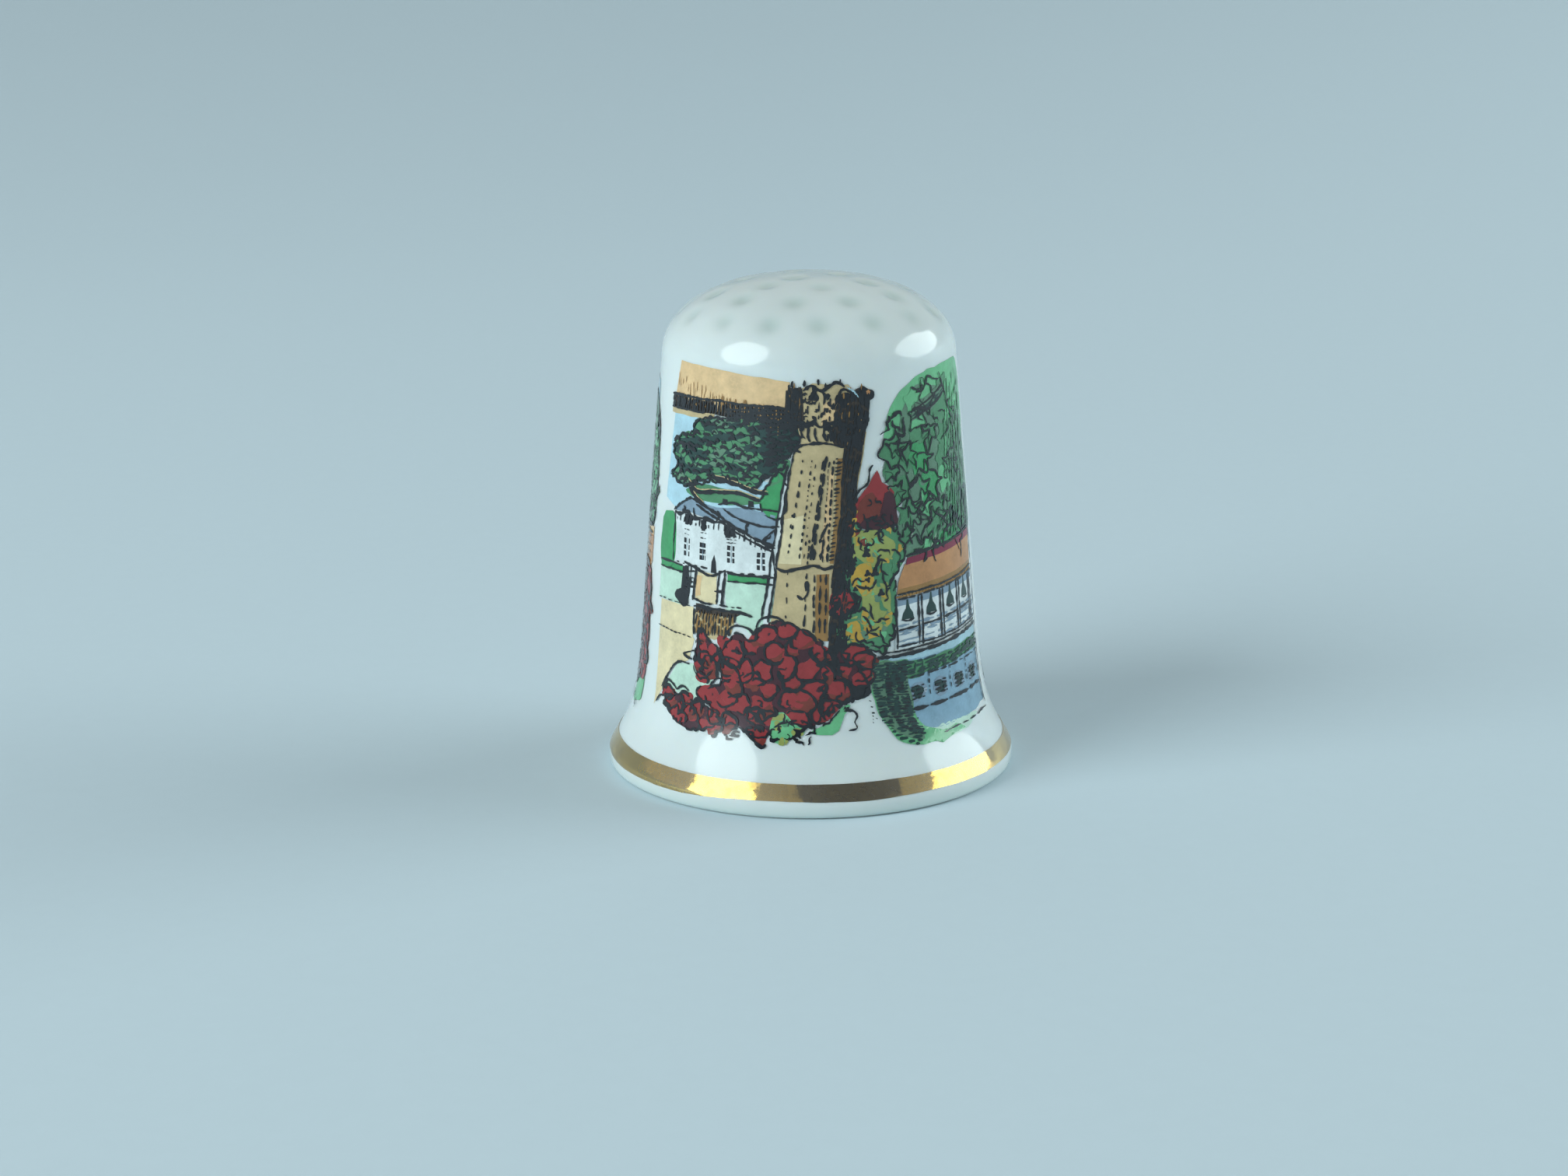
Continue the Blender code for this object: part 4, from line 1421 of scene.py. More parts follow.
def draw_bough(t):
    """A bough of ivy leaves: bright at its upper edge, close and dark lower down."""
    soft = [
        (4.2, 18.0), (4.25, 19.2), (4.7, 20.1), (5.7, 20.9), (7.0, 21.35), (8.5, 21.5), (11.2, 21.4),
        (11.3, 17.8), (7.0, 17.5),
    ]
    t.wash("sprig", soft, 0, 0.12, smooth=True, fade=2.5)
    mass = [
        (3.9, 16.5), (4.15, 17.6), (4.9, 18.9), (5.4, 20.0), (6.4, 20.7), (8.6, 20.4), (9.4, 19.0),
        (11.2, 18.4), (11.2, 12.75), (8.6, 12.6), (6.4, 12.4), (4.9, 12.5), (4.6, 14.0), (4.9, 15.2),
        (4.3, 16.0),
    ]
    t.wash("moss", mass, 1, 0.25, smooth=True)
    t.hatch([(8.2, 13.0), (8.4, 18.8), (11.1, 20.6), (11.1, 13.0)], 84, 0.3, 1.4, 0.9, 0.3, ink="leaf")
    t.hatch([(8.4, 13.0), (8.7, 18.2), (11.1, 19.5), (11.1, 13.0)], 80, 0.4, 0.8, 0.8, 0.4, ink="pine")
    t.hatch([(8.4, 17.0), (8.8, 20.6), (11.1, 21.2), (11.1, 17.5)], 82, 0.4, 1.1, 0.8, 0.5, ink="sprig")
    t.wash("pine", [
        (6.6, 12.7), (7.0, 13.7), (8.4, 14.3), (11.1, 15.0), (11.1, 12.9),
    ], 2, 0.3, smooth=True, fade=2.0)
    inks = ["leaf", "grass", "leaf", "moss", "leaf", "sprig"]
    leafy = [p for p in mass if p[0] < 9.0] + [(9.6, 18.6), (9.6, 12.8)]
    leafy = sorted(leafy, key=lambda p: math.atan2(p[1] - 16.3, p[0] - 7.2))
    for p in t.scattered(leafy, 1.3, 0.3):
        lined = p.x < 7.6 or t.dice.random() < 0.25
        ink = "sprig" if p.y > 18.4 and p.x < 7.0 else t.dice.choice(inks)
        draw_leaf(t, p, t.dice.uniform(0.8, 1.25), ink, t.dice.choice((3, 4, 5)), lined)
    for p in t.scattered([(7.0, 13.3), (7.6, 19.2), (10.2, 19.2), (10.2, 13.3)], 1.0):
        t.squiggle(p, 0.8, 0.6)
    for p in ((4.35, 16.7), (4.7, 15.7), (4.7, 17.8), (5.1, 13.4)):
        draw_leaf(t, p, 0.55, "leaf", 5)
    t.hatch([(6.4, 12.8), (6.8, 13.6), (8.4, 14.2), (11.0, 14.8), (11.0, 13.0)], 62, 0.26, 0.8, 0.3, 0.2)
    t.wash("moss", [(5.8, 19.0), (5.9, 19.8), (8.7, 20.7), (8.9, 20.3), (7.4, 19.4)], 6, 0.1)
    t.wash("moss", [(5.8, 19.1), (5.9, 19.5), (8.6, 20.5), (8.8, 20.2)], 7, 0.05, fade=0.8)
    t.hatch([(5.8, 19.1), (5.9, 19.3), (8.6, 20.35), (8.8, 20.2)], 21, 0.1, 0.9, 0.6, 0.1, ink="pine")
    t.pen([(5.9, 19.5), (7.2, 19.95), (8.7, 20.55)], 0.9)
    t.pen([(5.8, 19.1), (7.4, 19.6), (8.8, 20.2)], 0.9)
    t.pen([(8.3, 21.2), (8.8, 20.2), (9.2, 19.2), (9.5, 18.7)], 1.0)
    t.pen([
        (5.9, 20.7), (6.3, 20.55), (6.7, 20.4), (7.1, 20.8), (7.3, 21.1), (7.8, 20.9), (8.3, 20.85),
    ], 0.85)
    for p in ((4.5, 19.3), (4.7, 18.8), (4.3, 18.7), (5.0, 18.6), (5.3, 19.3)):
        t.squiggle(p, 0.9, 1.5)
    t.pen([(3.75, 18.55), (4.1, 18.7), (4.4, 18.8)], 1.2)


def draw_arcade(t):
    """A tiled roof over a white arcade, with a bell-shaped lantern in each bay."""
    t.wash("terracotta", [(4.4, 10.6), (4.5, 11.2), (4.95, 12.05), (10.9, 12.6), (10.8, 10.95)], 5, 0.04)
    t.wash("umber", [(4.4, 10.6), (4.5, 10.85), (10.8, 11.2), (10.8, 10.95)], 6, 0.05, fade=1.2)
    t.wash("maroon", [(5.0, 12.0), (5.1, 12.35), (10.9, 12.85), (10.9, 12.5)], 6, 0.04, fade=0.7)
    t.pen([(4.9, 12.45), (7.6, 12.65), (10.9, 12.95)], 1.1)
    t.pen([(4.4, 10.6), (7.5, 10.72), (10.8, 10.95)], 0.8)
    t.hatch([
        (4.5, 10.4), (4.5, 10.65), (10.7, 11.0), (10.7, 10.75),
    ], 88, 0.2, 0.8, 0.3, 0.05, ink="umber")
    t.wash("white", [(4.2, 7.8), (4.3, 10.45), (10.8, 10.8), (10.8, 8.2)], 5, 0.02, fade=0.6)
    t.wash("slate", [(4.3, 10.0), (4.3, 10.4), (10.8, 10.7), (10.8, 10.3)], 6, 0.04, fade=0.8)
    t.wash("umber", [(4.3, 10.3), (4.3, 10.5), (10.8, 10.85), (10.8, 10.65)], 6, 0.04, fade=0.8)
    t.hatch([(4.4, 7.9), (4.4, 9.2), (10.8, 9.4), (10.8, 8.3)], 3, 0.24, 1.1, 1.2, 0.2, ink="slate")
    t.dashes((4.4, 10.35), (10.8, 10.7), 0.6, 0.08, 1.0)
    for i in range(4):
        x = 5.0 + 1.52 * i
        z = 9.3 + 0.1 * i
        bell = [(0.36, 0.0), (0.3, 0.3), (0.13, 0.55), (0.07, 0.8), (0.05, 1.0)]
        right = [(x + reach, z + rise) for reach, rise in bell]
        left = [(x - reach, z + rise) for reach, rise in reversed(bell)]
        t.block("pine", right + left, 7)
        t.pen([(x - 0.38, z), (x, z - 0.08), (x + 0.38, z)], 0.8)
        for shift, width in ((0.64, 1.2), (0.87, 1.0)):
            t.pen([(x + shift, z - 1.4), (x + shift + 0.03, z + 1.1)], width, 0.04)
        t.pen([(x - 0.6, z - 0.52), (x + 0.66, z - 0.44)], 1.1, 0.03)
    t.pen([(4.35, 7.9), (4.3, 10.4)], 1.2)
    t.pen([(4.3, 8.0), (7.5, 8.08), (10.8, 8.3)], 0.8)
    t.pen([(3.2, 7.55), (6.0, 7.6), (10.8, 7.9)], 1.5)
    t.pen([(3.4, 7.75), (6.5, 7.85), (10.7, 8.12)], 0.8)


def draw_pool(t):
    """The pool, with the arcade mirrored in it, a clipped bank behind and reeds on the near side."""
    t.wash("mist", [(3.2, 6.9), (3.2, 7.5), (10.9, 7.85), (11.0, 6.9)], 0, 0.05)
    t.wash("pool", [(4.6, 4.5), (4.0, 7.2), (10.9, 7.3), (11.0, 4.6)], 1, 0.1, fade=2.0)
    t.wash("pool", [(4.9, 3.7), (4.6, 4.7), (11.0, 4.8), (11.1, 3.8), (8.0, 3.5)], 0, 0.1, fade=4.0)
    t.wash("mint", [
        (5.6, 3.1), (6.0, 3.7), (8.5, 3.6), (9.6, 3.5), (8.0, 3.0),
    ], 0, 0.15, smooth=True, fade=3.0)
    bank = [(3.2, 6.4), (3.3, 7.2), (5.0, 7.1), (10.9, 7.35), (10.9, 6.7), (7.0, 6.5), (4.8, 6.3)]
    t.wash("leaf", bank, 2, 0.2, fade=1.5)
    t.hatch(bank, 4, 0.17, 1.2, 0.6, 0.15, ink="pine")
    t.hatch([(4.0, 6.5), (4.0, 7.0), (10.6, 7.2), (10.6, 6.7)], 78, 0.5, 0.8, 0.5, 0.1, ink="pine")
    for i in range(4):
        x = 5.35 + 1.5 * i
        t.blob("slate", (x, 5.55), 0.46, 3, stretch=1.2, lobes=2, depth=0.1)
        for shift, rise in ((-0.12, 0.12), (0.14, 0.0), (0.0, -0.2)):
            t.blob("pine", (x + shift, 5.6 + rise), 0.18, 4, stretch=1.5, lobes=2)
        for rise in (-0.32, -0.14, 0.08, 0.25):
            t.dashes((x - 0.4, 5.55 + rise), (x + 0.42, 5.6 + rise), 0.3, 0.1, 1.1)
        t.dashes((x + 0.75, 5.3), (x + 0.75, 6.5), 0.2, 0.12, 0.9)
    t.dashes((4.9, 6.35), (10.8, 6.5), 0.5, 0.2, 0.9)
    t.dashes((5.0, 4.72), (10.8, 4.85), 1.1, 0.15, 1.3)
    t.dashes((6.6, 3.3), (11.0, 3.42), 0.9, 0.2, 0.7)
    reeds = [
        (3.0, 7.3), (2.95, 5.9), (3.3, 4.4), (4.0, 3.5), (5.0, 3.0), (6.4, 3.0), (8.2, 3.1), (6.2, 3.6),
        (5.4, 4.0), (4.9, 5.0), (4.7, 6.2), (4.8, 7.2),
    ]
    t.wash("sprig", reeds, 4, 0.3, smooth=True, fade=3.0)
    t.wash("moss", [
        (3.0, 7.2), (3.0, 5.8), (3.4, 4.4), (4.2, 3.6), (5.4, 3.2), (5.0, 4.4), (4.7, 7.1),
    ], 5, 0.2, smooth=True, fade=2.0)
    deep = [
        (3.6, 7.2), (3.6, 5.2), (4.1, 4.1), (4.9, 3.5), (5.4, 3.5), (4.9, 4.6), (4.8, 5.6), (4.9, 7.2),
    ]
    t.hatch(reeds[:5] + [(5.6, 3.4)] + reeds[-3:], -5, 0.15, 1.35, 0.4, 0.2, ink="pine")
    t.hatch(deep, -5, 0.15, 1.5, 0.35, 0.12, ink="pine")
    t.hatch(deep, -7, 0.17, 1.1, 0.3, 0.25)
    t.hatch([(3.1, 6.6), (3.2, 4.8), (3.9, 3.9), (3.9, 6.6)], 6, 0.3, 0.9, 0.25, 0.5)
    for x, z in ((2.75, 5.5), (2.8, 5.2), (2.85, 4.9), (3.0, 4.6)):
        t.pen([(x, z), (x + 0.1, z - 0.04)], 0.9)


def draw_terrace_view():
    """Left: a brick wall with an arch, a climbing rose, a tree and a lavender border."""
    t = Transfer("left_print", 23)
    left, right = -23.6, -10.6
    sky = [(left, 13.0), (left + 0.2, 20.6), (left + 6.0, 21.0), (right - 1.0, 20.4), (right - 0.5, 13.0)]
    t.wash("sky", sky, 0, fade=2.0)
    draw_clouds(t, [(left + 4.6, 18.9), (left + 5.8, 19.3), (left + 6.9, 18.8)])
    tree = [
        (right - 4.8, 16.3), (right - 4.4, 18.3), (right - 2.8, 19.6), (right - 1.0, 19.3), (right, 17.6),
        (right + 0.05, 13.6), (right - 1.6, 12.9), (right - 3.6, 13.6),
    ]
    mass = draw_shrub(t, tree, 0.7, ["leaf", "grass", "sprig"], 3, "pine", jag=0.12)
    t.scallops(mass, 0.2)
    for p in t.scattered(mass, 0.8):
        draw_leaf(t, p, t.dice.uniform(0.3, 0.5), t.dice.choice(["grass", "sprig"]), 5)
    poplar = [
        (left + 1.4, 13.2), (left + 1.1, 16.5), (left + 1.9, 19.4), (left + 2.8, 17.0),
        (left + 2.7, 13.2),
    ]
    slim = draw_shrub(t, poplar, 0.32, ["leaf", "moss"], 2, "pine", stretch=0.7, fill=0.8)
    t.scallops(slim, 0.14)
    for p in t.scattered(slim, 0.5):
        t.pen([p, p + Vector((0.05, 0.4))], 1.0, 0.1)

    # Wall and arch
    t.wash("terracotta", [(left, 8.6), (left, 12.7), (right, 12.6), (right, 11.2), (right - 2.0, 8.6)], 1)
    t.wash("ochre", [(left, 12.65), (left, 13.1), (right, 13.0), (right, 12.55)], 2, fade=0.5)
    middle = left + 6.4
    opening = [(-1.5, 8.4), (-1.5, 11.2), (-1.1, 12.2), (0, 12.7), (1.1, 12.2), (1.5, 11.2), (1.5, 8.4)]
    arch = [(middle + x, z) for x, z in opening]
    quoins = [(middle + x * 1.34, z + 0.75 * (z > 9)) for x, z in opening]
    t.wash("stone", quoins, 3)
    t.wash("mist", arch, 4, fade=0.5)
    t.wash("sprig", [
        (middle - 1.4, 8.4), (middle - 1.4, 10.4), (middle - 0.4, 10.9), (middle + 1.4, 10.2),
        (middle + 1.4, 8.4),
    ], 5)
    draw_ring_of_stones(t, arch, quoins, 1.3, 1.2)
    for row in range(9):
        z = 8.9 + row * 0.44
        for start, stop in ((left + 0.1, middle - 2.1), (middle + 2.1, right - 0.4)):
            t.dashes((start, z), (stop, z), 0.7, 0.12, 0.6)
            joints = int((stop - start) / 0.8)
            for i in range(joints):
                x = start + 0.3 + 0.8 * i + 0.4 * (row % 2)
                t.pen([(x, z), (x, z + 0.42)], 0.55)
    t.pen([(left, 12.72), (middle - 1.6, 12.7)], 1.1)
    t.pen([(middle + 1.6, 12.7), (right - 0.2, 12.65)], 1.1)
    t.pen([(left, 13.1), (middle - 1.2, 13.1)], 1.0)
    t.pen([(middle + 1.2, 13.1), (right - 0.2, 13.05)], 1.0)
    t.wash("cream", [
        (middle - 1.2, 8.4), (middle + 1.2, 8.4), (middle + 2.6, 4.0), (middle - 3.0, 4.0),
    ], 1)
    for row in range(7):
        z = 4.4 + row * 0.6
        reach = 2.6 - row * 0.24
        t.dashes((middle - 0.2 - reach, z), (middle - 0.1 + reach, z + 0.05), 0.8, 0.15, 0.7)
        for i in range(4):
            x = middle - 0.15 + reach * (i - 1.5 + 0.5 * (row % 2)) / 2.2
            t.pen([(x, z), (x + 0.05, z + 0.5)], 0.6)

    # Borders
    roses = [
        (right - 3.4, 10.2), (right - 2.2, 11.1), (right - 0.6, 11.0), (right + 0.1, 10.0),
        (right + 0.1, 6.0), (right - 1.2, 4.7), (right - 3.4, 5.0), (right - 4.3, 7.4),
    ]
    draw_roses(t, roses, 0.85, 3)
    for p in t.scattered(roses, 1.6):
        draw_leaf(t, p, 0.34, "leaf", 7)
    t.wash("rose", [
        (right - 0.7, 5.2), (right - 0.8, 8.0), (right - 0.5, 10.6), (right + 0.2, 10.2),
        (right + 0.2, 5.4),
    ], 8, 0.2, smooth=True)
    t.wash("sprig", [
        (right - 1.4, 3.6), (right - 1.3, 4.9), (right - 0.1, 5.3), (right + 0.1, 4.0),
    ], 4, 0.2, smooth=True, fade=2.0)
    t.wash("lilac", [
        (left, 4.6), (left, 8.2), (left + 2.6, 8.6), (left + 3.6, 6.4), (left + 3.0, 4.2),
    ], 2, smooth=True)
    low = [(left, 4.0), (left, 5.6), (left + 1.8, 5.9), (left + 3.6, 5.3), (left + 3.5, 3.8)]
    draw_shrub(t, low, 0.45, ["leaf", "sprig"], 3, "leaf")
    for i in range(34):
        x = left + 0.15 + i * 0.1
        foot = 5.2 + 0.3 * math.sin(i)
        head = foot + 1.9 + 0.7 * math.sin(i * 2.3)
        t.pen([(x, foot), (x + 0.1 * math.sin(i * 1.7), head)], 0.6)
        t.pen([(x + 0.05, head - 0.8), (x + 0.1 * math.sin(i * 1.7), head + 0.2)], 1.2, ink="lilac")
    draw_grasses(t, left, 0.52)
    return t


def draw_bridge_view():
    """Back: a stone bridge over a stream, with a willow, irises and a meadow."""
    t = Transfer("back_print", 31)
    left, right = 13.9, 26.3
    t.wash("sky", [(left, 13.4), (left + 0.2, 20.6), (right - 0.3, 20.8), (right, 13.6)], 0, fade=2.0)
    draw_clouds(t, [(left + 1.6, 18.6), (left + 2.9, 19.1), (left + 3.9, 18.5)])
    hills = [
        (left, 12.6), (left, 14.2), (left + 3, 15.0), (left + 6, 14.3), (left + 9, 15.2), (right, 14.4),
        (right, 12.6),
    ]
    t.wash("mint", hills, 1)
    t.wash("sprig", [
        (left, 12.5), (left, 13.4), (left + 4.5, 13.9), (right, 13.2), (right, 12.4),
    ], 2, fade=1.5)
    t.pen(hills[1:-1], 0.8)
    for i in range(16):
        p = Vector((left + 0.4 + 0.4 * i, 13.2 + 0.3 * math.sin(i)))
        t.blob("leaf", p, 0.3, 3, lobes=5)
        t.squiggle(p, 0.5, 0.8)
    far = [
        (left + 0.7, 13.0), (left + 0.9, 14.6), (left + 2.4, 15.9), (left + 4.0, 14.9),
        (left + 4.2, 13.0),
    ]
    copse = draw_shrub(t, far, 0.42, ["leaf", "sprig", "moss"], 4, "pine")
    t.scallops(copse, 0.15)

    # Willow
    crown = [
        (right - 6.2, 14.0), (right - 6.6, 17.4), (right - 4.6, 20.2), (right - 1.8, 20.6),
        (right - 0.1, 18.4), (right, 13.8), (right - 1.6, 12.4), (right - 4.0, 12.9),
    ]
    inks = ["leaf", "olive", "sprig", "moss"]
    willow = draw_shrub(t, crown, 0.5, inks, 4, "pine", stretch=0.45, jag=0.06)
    t.scallops(willow, 0.18)
    for i in range(48):
        x = right - 6.2 + i * 0.125
        head = 19.9 - 0.013 * (i - 26) ** 2 * 0.25 - t.dice.uniform(0, 1.5)
        foot = head - t.dice.uniform(1.5, 4.5)
        sway = 0.15 * math.sin(i * 1.3)
        t.pen([(x, head), (x + sway, (head + foot) / 2), (x - sway, foot)], 0.6)
    t.wash("umber", [
        (right - 3.3, 10.8), (right - 3.2, 13.4), (right - 2.5, 13.4), (right - 2.2, 10.8),
    ], 6)
    t.hatch([
        (right - 3.0, 10.8), (right - 2.9, 13.2), (right - 2.5, 13.2), (right - 2.2, 10.8),
    ], 85, 0.18, 0.9, 0.6, 0.1)

    # Bridge
    middle = left + 5.0
    deck = [
        (left, 9.8), (left, 11.4), (middle - 2.0, 12.3), (middle, 12.8), (middle + 2.0, 12.3),
        (middle + 5.4, 10.8),
    ]
    t.wash("stone", [*deck, (middle + 5.4, 9.4), (middle + 2.6, 8.8), (middle - 2.6, 8.8)], 5)
    t.wash("umber", [(left, 8.8), (left, 9.8), (middle - 2.0, 9.6), (middle - 2.0, 8.8)], 6, fade=2.0)
    ring = [(-1.9, 8.8), (-1.6, 10.4), (-0.8, 11.3), (0, 11.6), (0.8, 11.3), (1.6, 10.4), (1.9, 8.8)]
    void = [(middle + x, z) for x, z in ring]
    rim = [(middle + x * 1.25, z + 0.45 * (z > 9)) for x, z in ring]
    t.wash("pine", void, 6)
    draw_ring_of_stones(t, void, rim, 1.4, 1.0)
    t.pen(deck[1:], 1.3)
    t.pen([(x, z - 0.4) for x, z in deck[1:]], 0.9)
    for row in range(6):
        z = 9.1 + row * 0.42
        t.dashes((left + 0.1, z), (middle - 2.3 + row * 0.1, z), 0.5, 0.25, 0.7)
        t.dashes((middle + 2.3 - row * 0.1, z), (middle + 4.9 - row * 0.4, z), 0.5, 0.25, 0.7)
        for i in range(6):
            for x in (left + 0.4 + 0.45 * i, middle + 2.6 + 0.45 * i - 0.25 * row):
                t.pen([(x + 0.2 * (row % 2), z), (x + 0.2 * (row % 2), z + 0.35)], 0.6)

    # Stream and banks
    t.wash("pool", [
        (left, 5.0), (left, 8.9), (right - 2.0, 8.9), (right - 1.0, 6.6), (right - 3.4, 4.0),
        (left + 2.0, 3.9),
    ], 1, 0.2, fade=1.5)
    t.wash("mist", [
        (left + 0.6, 5.0), (left + 0.6, 6.2), (right - 4.0, 6.4), (right - 4.6, 4.6),
    ], 2, 0.2, fade=3.0)
    t.wash("pine", [
        (middle - 1.9, 8.7), (middle - 1.2, 7.2), (middle + 1.2, 7.2), (middle + 1.9, 8.7),
    ], 3, fade=2.0)
    t.hatch([
        (left + 0.3, 4.6), (left + 0.3, 8.5), (right - 3.0, 8.5), (right - 3.4, 4.6),
    ], 2, 0.42, 0.9, 0.8, 0.7)
    t.hatch([
        (middle - 1.8, 7.4), (middle - 1.8, 8.6), (middle + 1.8, 8.6), (middle + 1.8, 7.4),
    ], 1, 0.2, 1.0, 0.6, 0.2)
    bank = [
        (right - 4.2, 4.0), (right - 3.6, 6.6), (right - 2.0, 9.4), (right, 10.6), (right, 4.4),
        (right - 2.0, 3.7),
    ]
    grass = draw_shrub(t, bank, 0.5, ["sprig", "grass", "olive"], 4, "grass")
    t.scallops(grass, 0.18)
    near = [(left, 3.9), (left, 5.9), (left + 1.6, 5.4), (left + 3.4, 4.4), (left + 2.0, 3.8)]
    tuft = draw_shrub(t, near, 0.4, ["sprig", "grass", "moss"], 4, "grass")
    t.scallops(tuft, 0.18)
    for p in t.scattered(bank, 0.45):
        t.pen([p, p + Vector((t.dice.uniform(-0.15, 0.15), t.dice.uniform(0.4, 0.8)))], 0.7)
    for i in range(9):
        x = right - 3.7 + i * 0.42
        z = 6.0 + 0.3 * i + 0.5 * math.sin(i * 2.0)
        t.blob("lilac", (x, z), 0.3, 7, lobes=3, depth=0.35)
        t.blob("marigold", (x, z), 0.09, 8, lobes=3)
        t.loop([
            (x - 0.27, z), (x - 0.1, z + 0.28), (x + 0.15, z + 0.24), (x + 0.26, z - 0.08), (x, z - 0.25),
        ], 0.8, 0.1)
        t.pen([(x, z - 0.25), (x + 0.05, z - 1.3)], 0.8)
    draw_grasses(t, left, 0.5)
    return t


# ---------------------------------------------------------------------------------------------
# Operators
# ---------------------------------------------------------------------------------------------


class BuildBody(bpy.types.Operator):
    """Spins the china shell and presses the dimples into its dome"""

    bl_idname = "thimble.china_body"
    bl_label = "China Body"

    def execute(self, context):
        bm = spun(outer_profile() + inner_profile(), SEGMENTS)
        pooled = bm.verts.layers.float.new("pooled")
        press_dimples(bm, pooled)
        # Painted shade: the lip is tinted darker towards the foot, where it meets the floor
        for v in bm.verts:
            if v.co.z < LIP_HEIGHT:
                v[pooled] = LIP_PAINTED_SHADE * (1 - v.co.z / LIP_HEIGHT)
        mesh = mesh_from(bm, "thimble_body")
        finished("thimble_body", mesh, bone_china(), "china_body")
        return {"FINISHED"}


def press_dimples(bm, pooled):
    """Presses staggered rings of shallow, soft-edged dimples into the dome. The second argument
    is how strongly each dimple is tinted darker: glaze pooled in it, and painted shade in the hollow."""
    width, depth = sizes().dimple_width / MM, sizes().dimple_depth / MM
    dice = random.Random(5)
    shoulder, rise = outer_radius(SHOULDER_HEIGHT), HEIGHT - SHOULDER_HEIGHT
    dome = [v for v in bm.verts if v.co.z > SHOULDER_HEIGHT and v.co.to_2d().length_squared > 0]
    dome = [v for v in dome if v.normal.z > 0.0 or v.co.z > HEIGHT - CROWN]
    outside = [v for v in dome if v.normal.dot(v.co - Vector((0, 0, INNER_SHOULDER_HEIGHT))) > 0]
    moves = {}
    for ring, (radius, count) in enumerate(DIMPLE_RINGS):
        turn = math.acos((radius / shoulder) ** (DOME_WIDTH_POWER / 2))
        r, z = dome_point(turn, shoulder, SHOULDER_HEIGHT, rise)
        for i in range(count):
            # Rings are turned by half a space against each other, so that dimples stagger
            angle = math.tau * (i + ring / 2) / count + dice.uniform(-0.03, 0.03)
            centre = Vector((r * math.cos(angle), r * math.sin(angle), z))
            strength = dice.uniform(0.75, 1.15)
            for v in outside:
                away = (v.co - centre).length / (width / 2)
                if away < 1.6:
                    hollow = strength * math.exp(-1.9 * away**2)
                    moves[v] = moves.get(v, 0.0) + hollow
    # Each dimple is tinted darker: pooled glaze, and painted shade in the hollow
    for v, hollow in moves.items():
        v[pooled] = min(1.0, hollow) * DIMPLE_POOLING_AND_SHADE
    pushes = [(v, v.normal * -depth * hollow) for v, hollow in moves.items()]
    for v, push in pushes:
        v.co += push


class BuildGiltLine(bpy.types.Operator):
    """Lays the gold band round the skirt, with the uneven edges of a hand-drawn line"""

    bl_idname = "thimble.gilt_line"
    bl_label = "Gilt Line"

    def execute(self, context):
        rows = steps(0.0, 1.0, GILT_ROWS)
        bm = spun([(LIP_RADIUS, row) for row in rows], GILT_SEGMENTS)
        for v in bm.verts:
            angle = math.atan2(v.co.y, v.co.x)
            z = gilt_height(angle, v.co.z)
            r = outer_radius(z) + FIRST_LIFT
            v.co = (r * math.cos(angle), r * math.sin(angle), z)
        for face in bm.faces:
            face.normal_update()
        inward = [f for f in bm.faces if f.normal.dot(f.calc_center_median().to_2d().to_3d()) < 0]
        bmesh.ops.reverse_faces(bm, faces=inward)
        thickness = sizes().gilt_thickness / MM
        bmesh.ops.solidify(bm, geom=bm.faces[:], thickness=-thickness)
        bmesh.ops.recalc_face_normals(bm, faces=bm.faces[:])
        mesh = mesh_from(bm, "gilt_band")
        mesh.set_sharp_from_angle(angle=math.radians(40))
        finished("gilt_band", mesh, bright_gold(), "gilt_line")
        return {"FINISHED"}


def gilt_height(angle, share):
    """Height of the gold at a place round the foot, from its lower edge at 0 to its upper at 1.
    The brush shook a little, and at the front left the gold ran down in a long shallow sag."""
    round_place = Vector((math.cos(angle), math.sin(angle), 0))
    lower = GILT_LOW + 0.05 + 0.045 * noise.noise(round_place * 2.2)
    lower += 0.02 * noise.noise(round_place * 11.0)
    upper = GILT_HIGH + 0.05 * noise.noise(round_place * 1.8 + Vector((5, 0, 0)))
    upper += 0.012 * noise.noise(round_place * 9.0)
    off = math.remainder(angle - math.radians(SAG_PLACE), math.tau) / math.radians(SAG_REACH)
    lower -= sizes().gilt_sag / MM * math.exp(-(off**2))
    return lower + (upper - lower) * share


class BuildFrontPrint(bpy.types.Operator):
    """Lays the front transfer: portico, lodge and roses"""

    bl_idname = "thimble.front_print"
    bl_label = "Front Transfer"

    def execute(self, context):
        lay_transfer(draw_portico_view())
        return {"FINISHED"}


class BuildRightPrint(bpy.types.Operator):
    """Lays the right transfer: bough, arcade and pool"""

    bl_idname = "thimble.right_print"
    bl_label = "Right Transfer"

    def execute(self, context):
        lay_transfer(draw_pool_view())
        return {"FINISHED"}


class BuildLeftPrint(bpy.types.Operator):
    """Lays the left transfer: walled garden"""

    bl_idname = "thimble.left_print"
    bl_label = "Left Transfer"

    def execute(self, context):
        lay_transfer(draw_terrace_view())
        return {"FINISHED"}


class BuildBackPrint(bpy.types.Operator):
    """Lays the back transfer: bridge and stream"""

    bl_idname = "thimble.back_print"
    bl_label = "Back Transfer"

    def execute(self, context):
        lay_transfer(draw_bridge_view())
        return {"FINISHED"}


class BuildStage(bpy.types.Operator):
    """Sets the paper sweep, the soft lights and the camera"""

    bl_idname = "thimble.stage"
    bl_label = "Stage"

    def execute(self, context):
        make_sweep()
        make_world()
        make_softbox("left_softbox", -55, 26, (600, 720), 5.2)
        make_softbox("right_softbox", 101, 20, (840, 470), 4.6)
        make_card("dark_card", 26, 42, (860, 560), "#4A443C")
        make_card("dim_wall", 8, 10, (1500, 480), "#4E5355")
        make_camera()
        context.scene.view_settings.view_transform = "Standard"
        return {"FINISHED"}


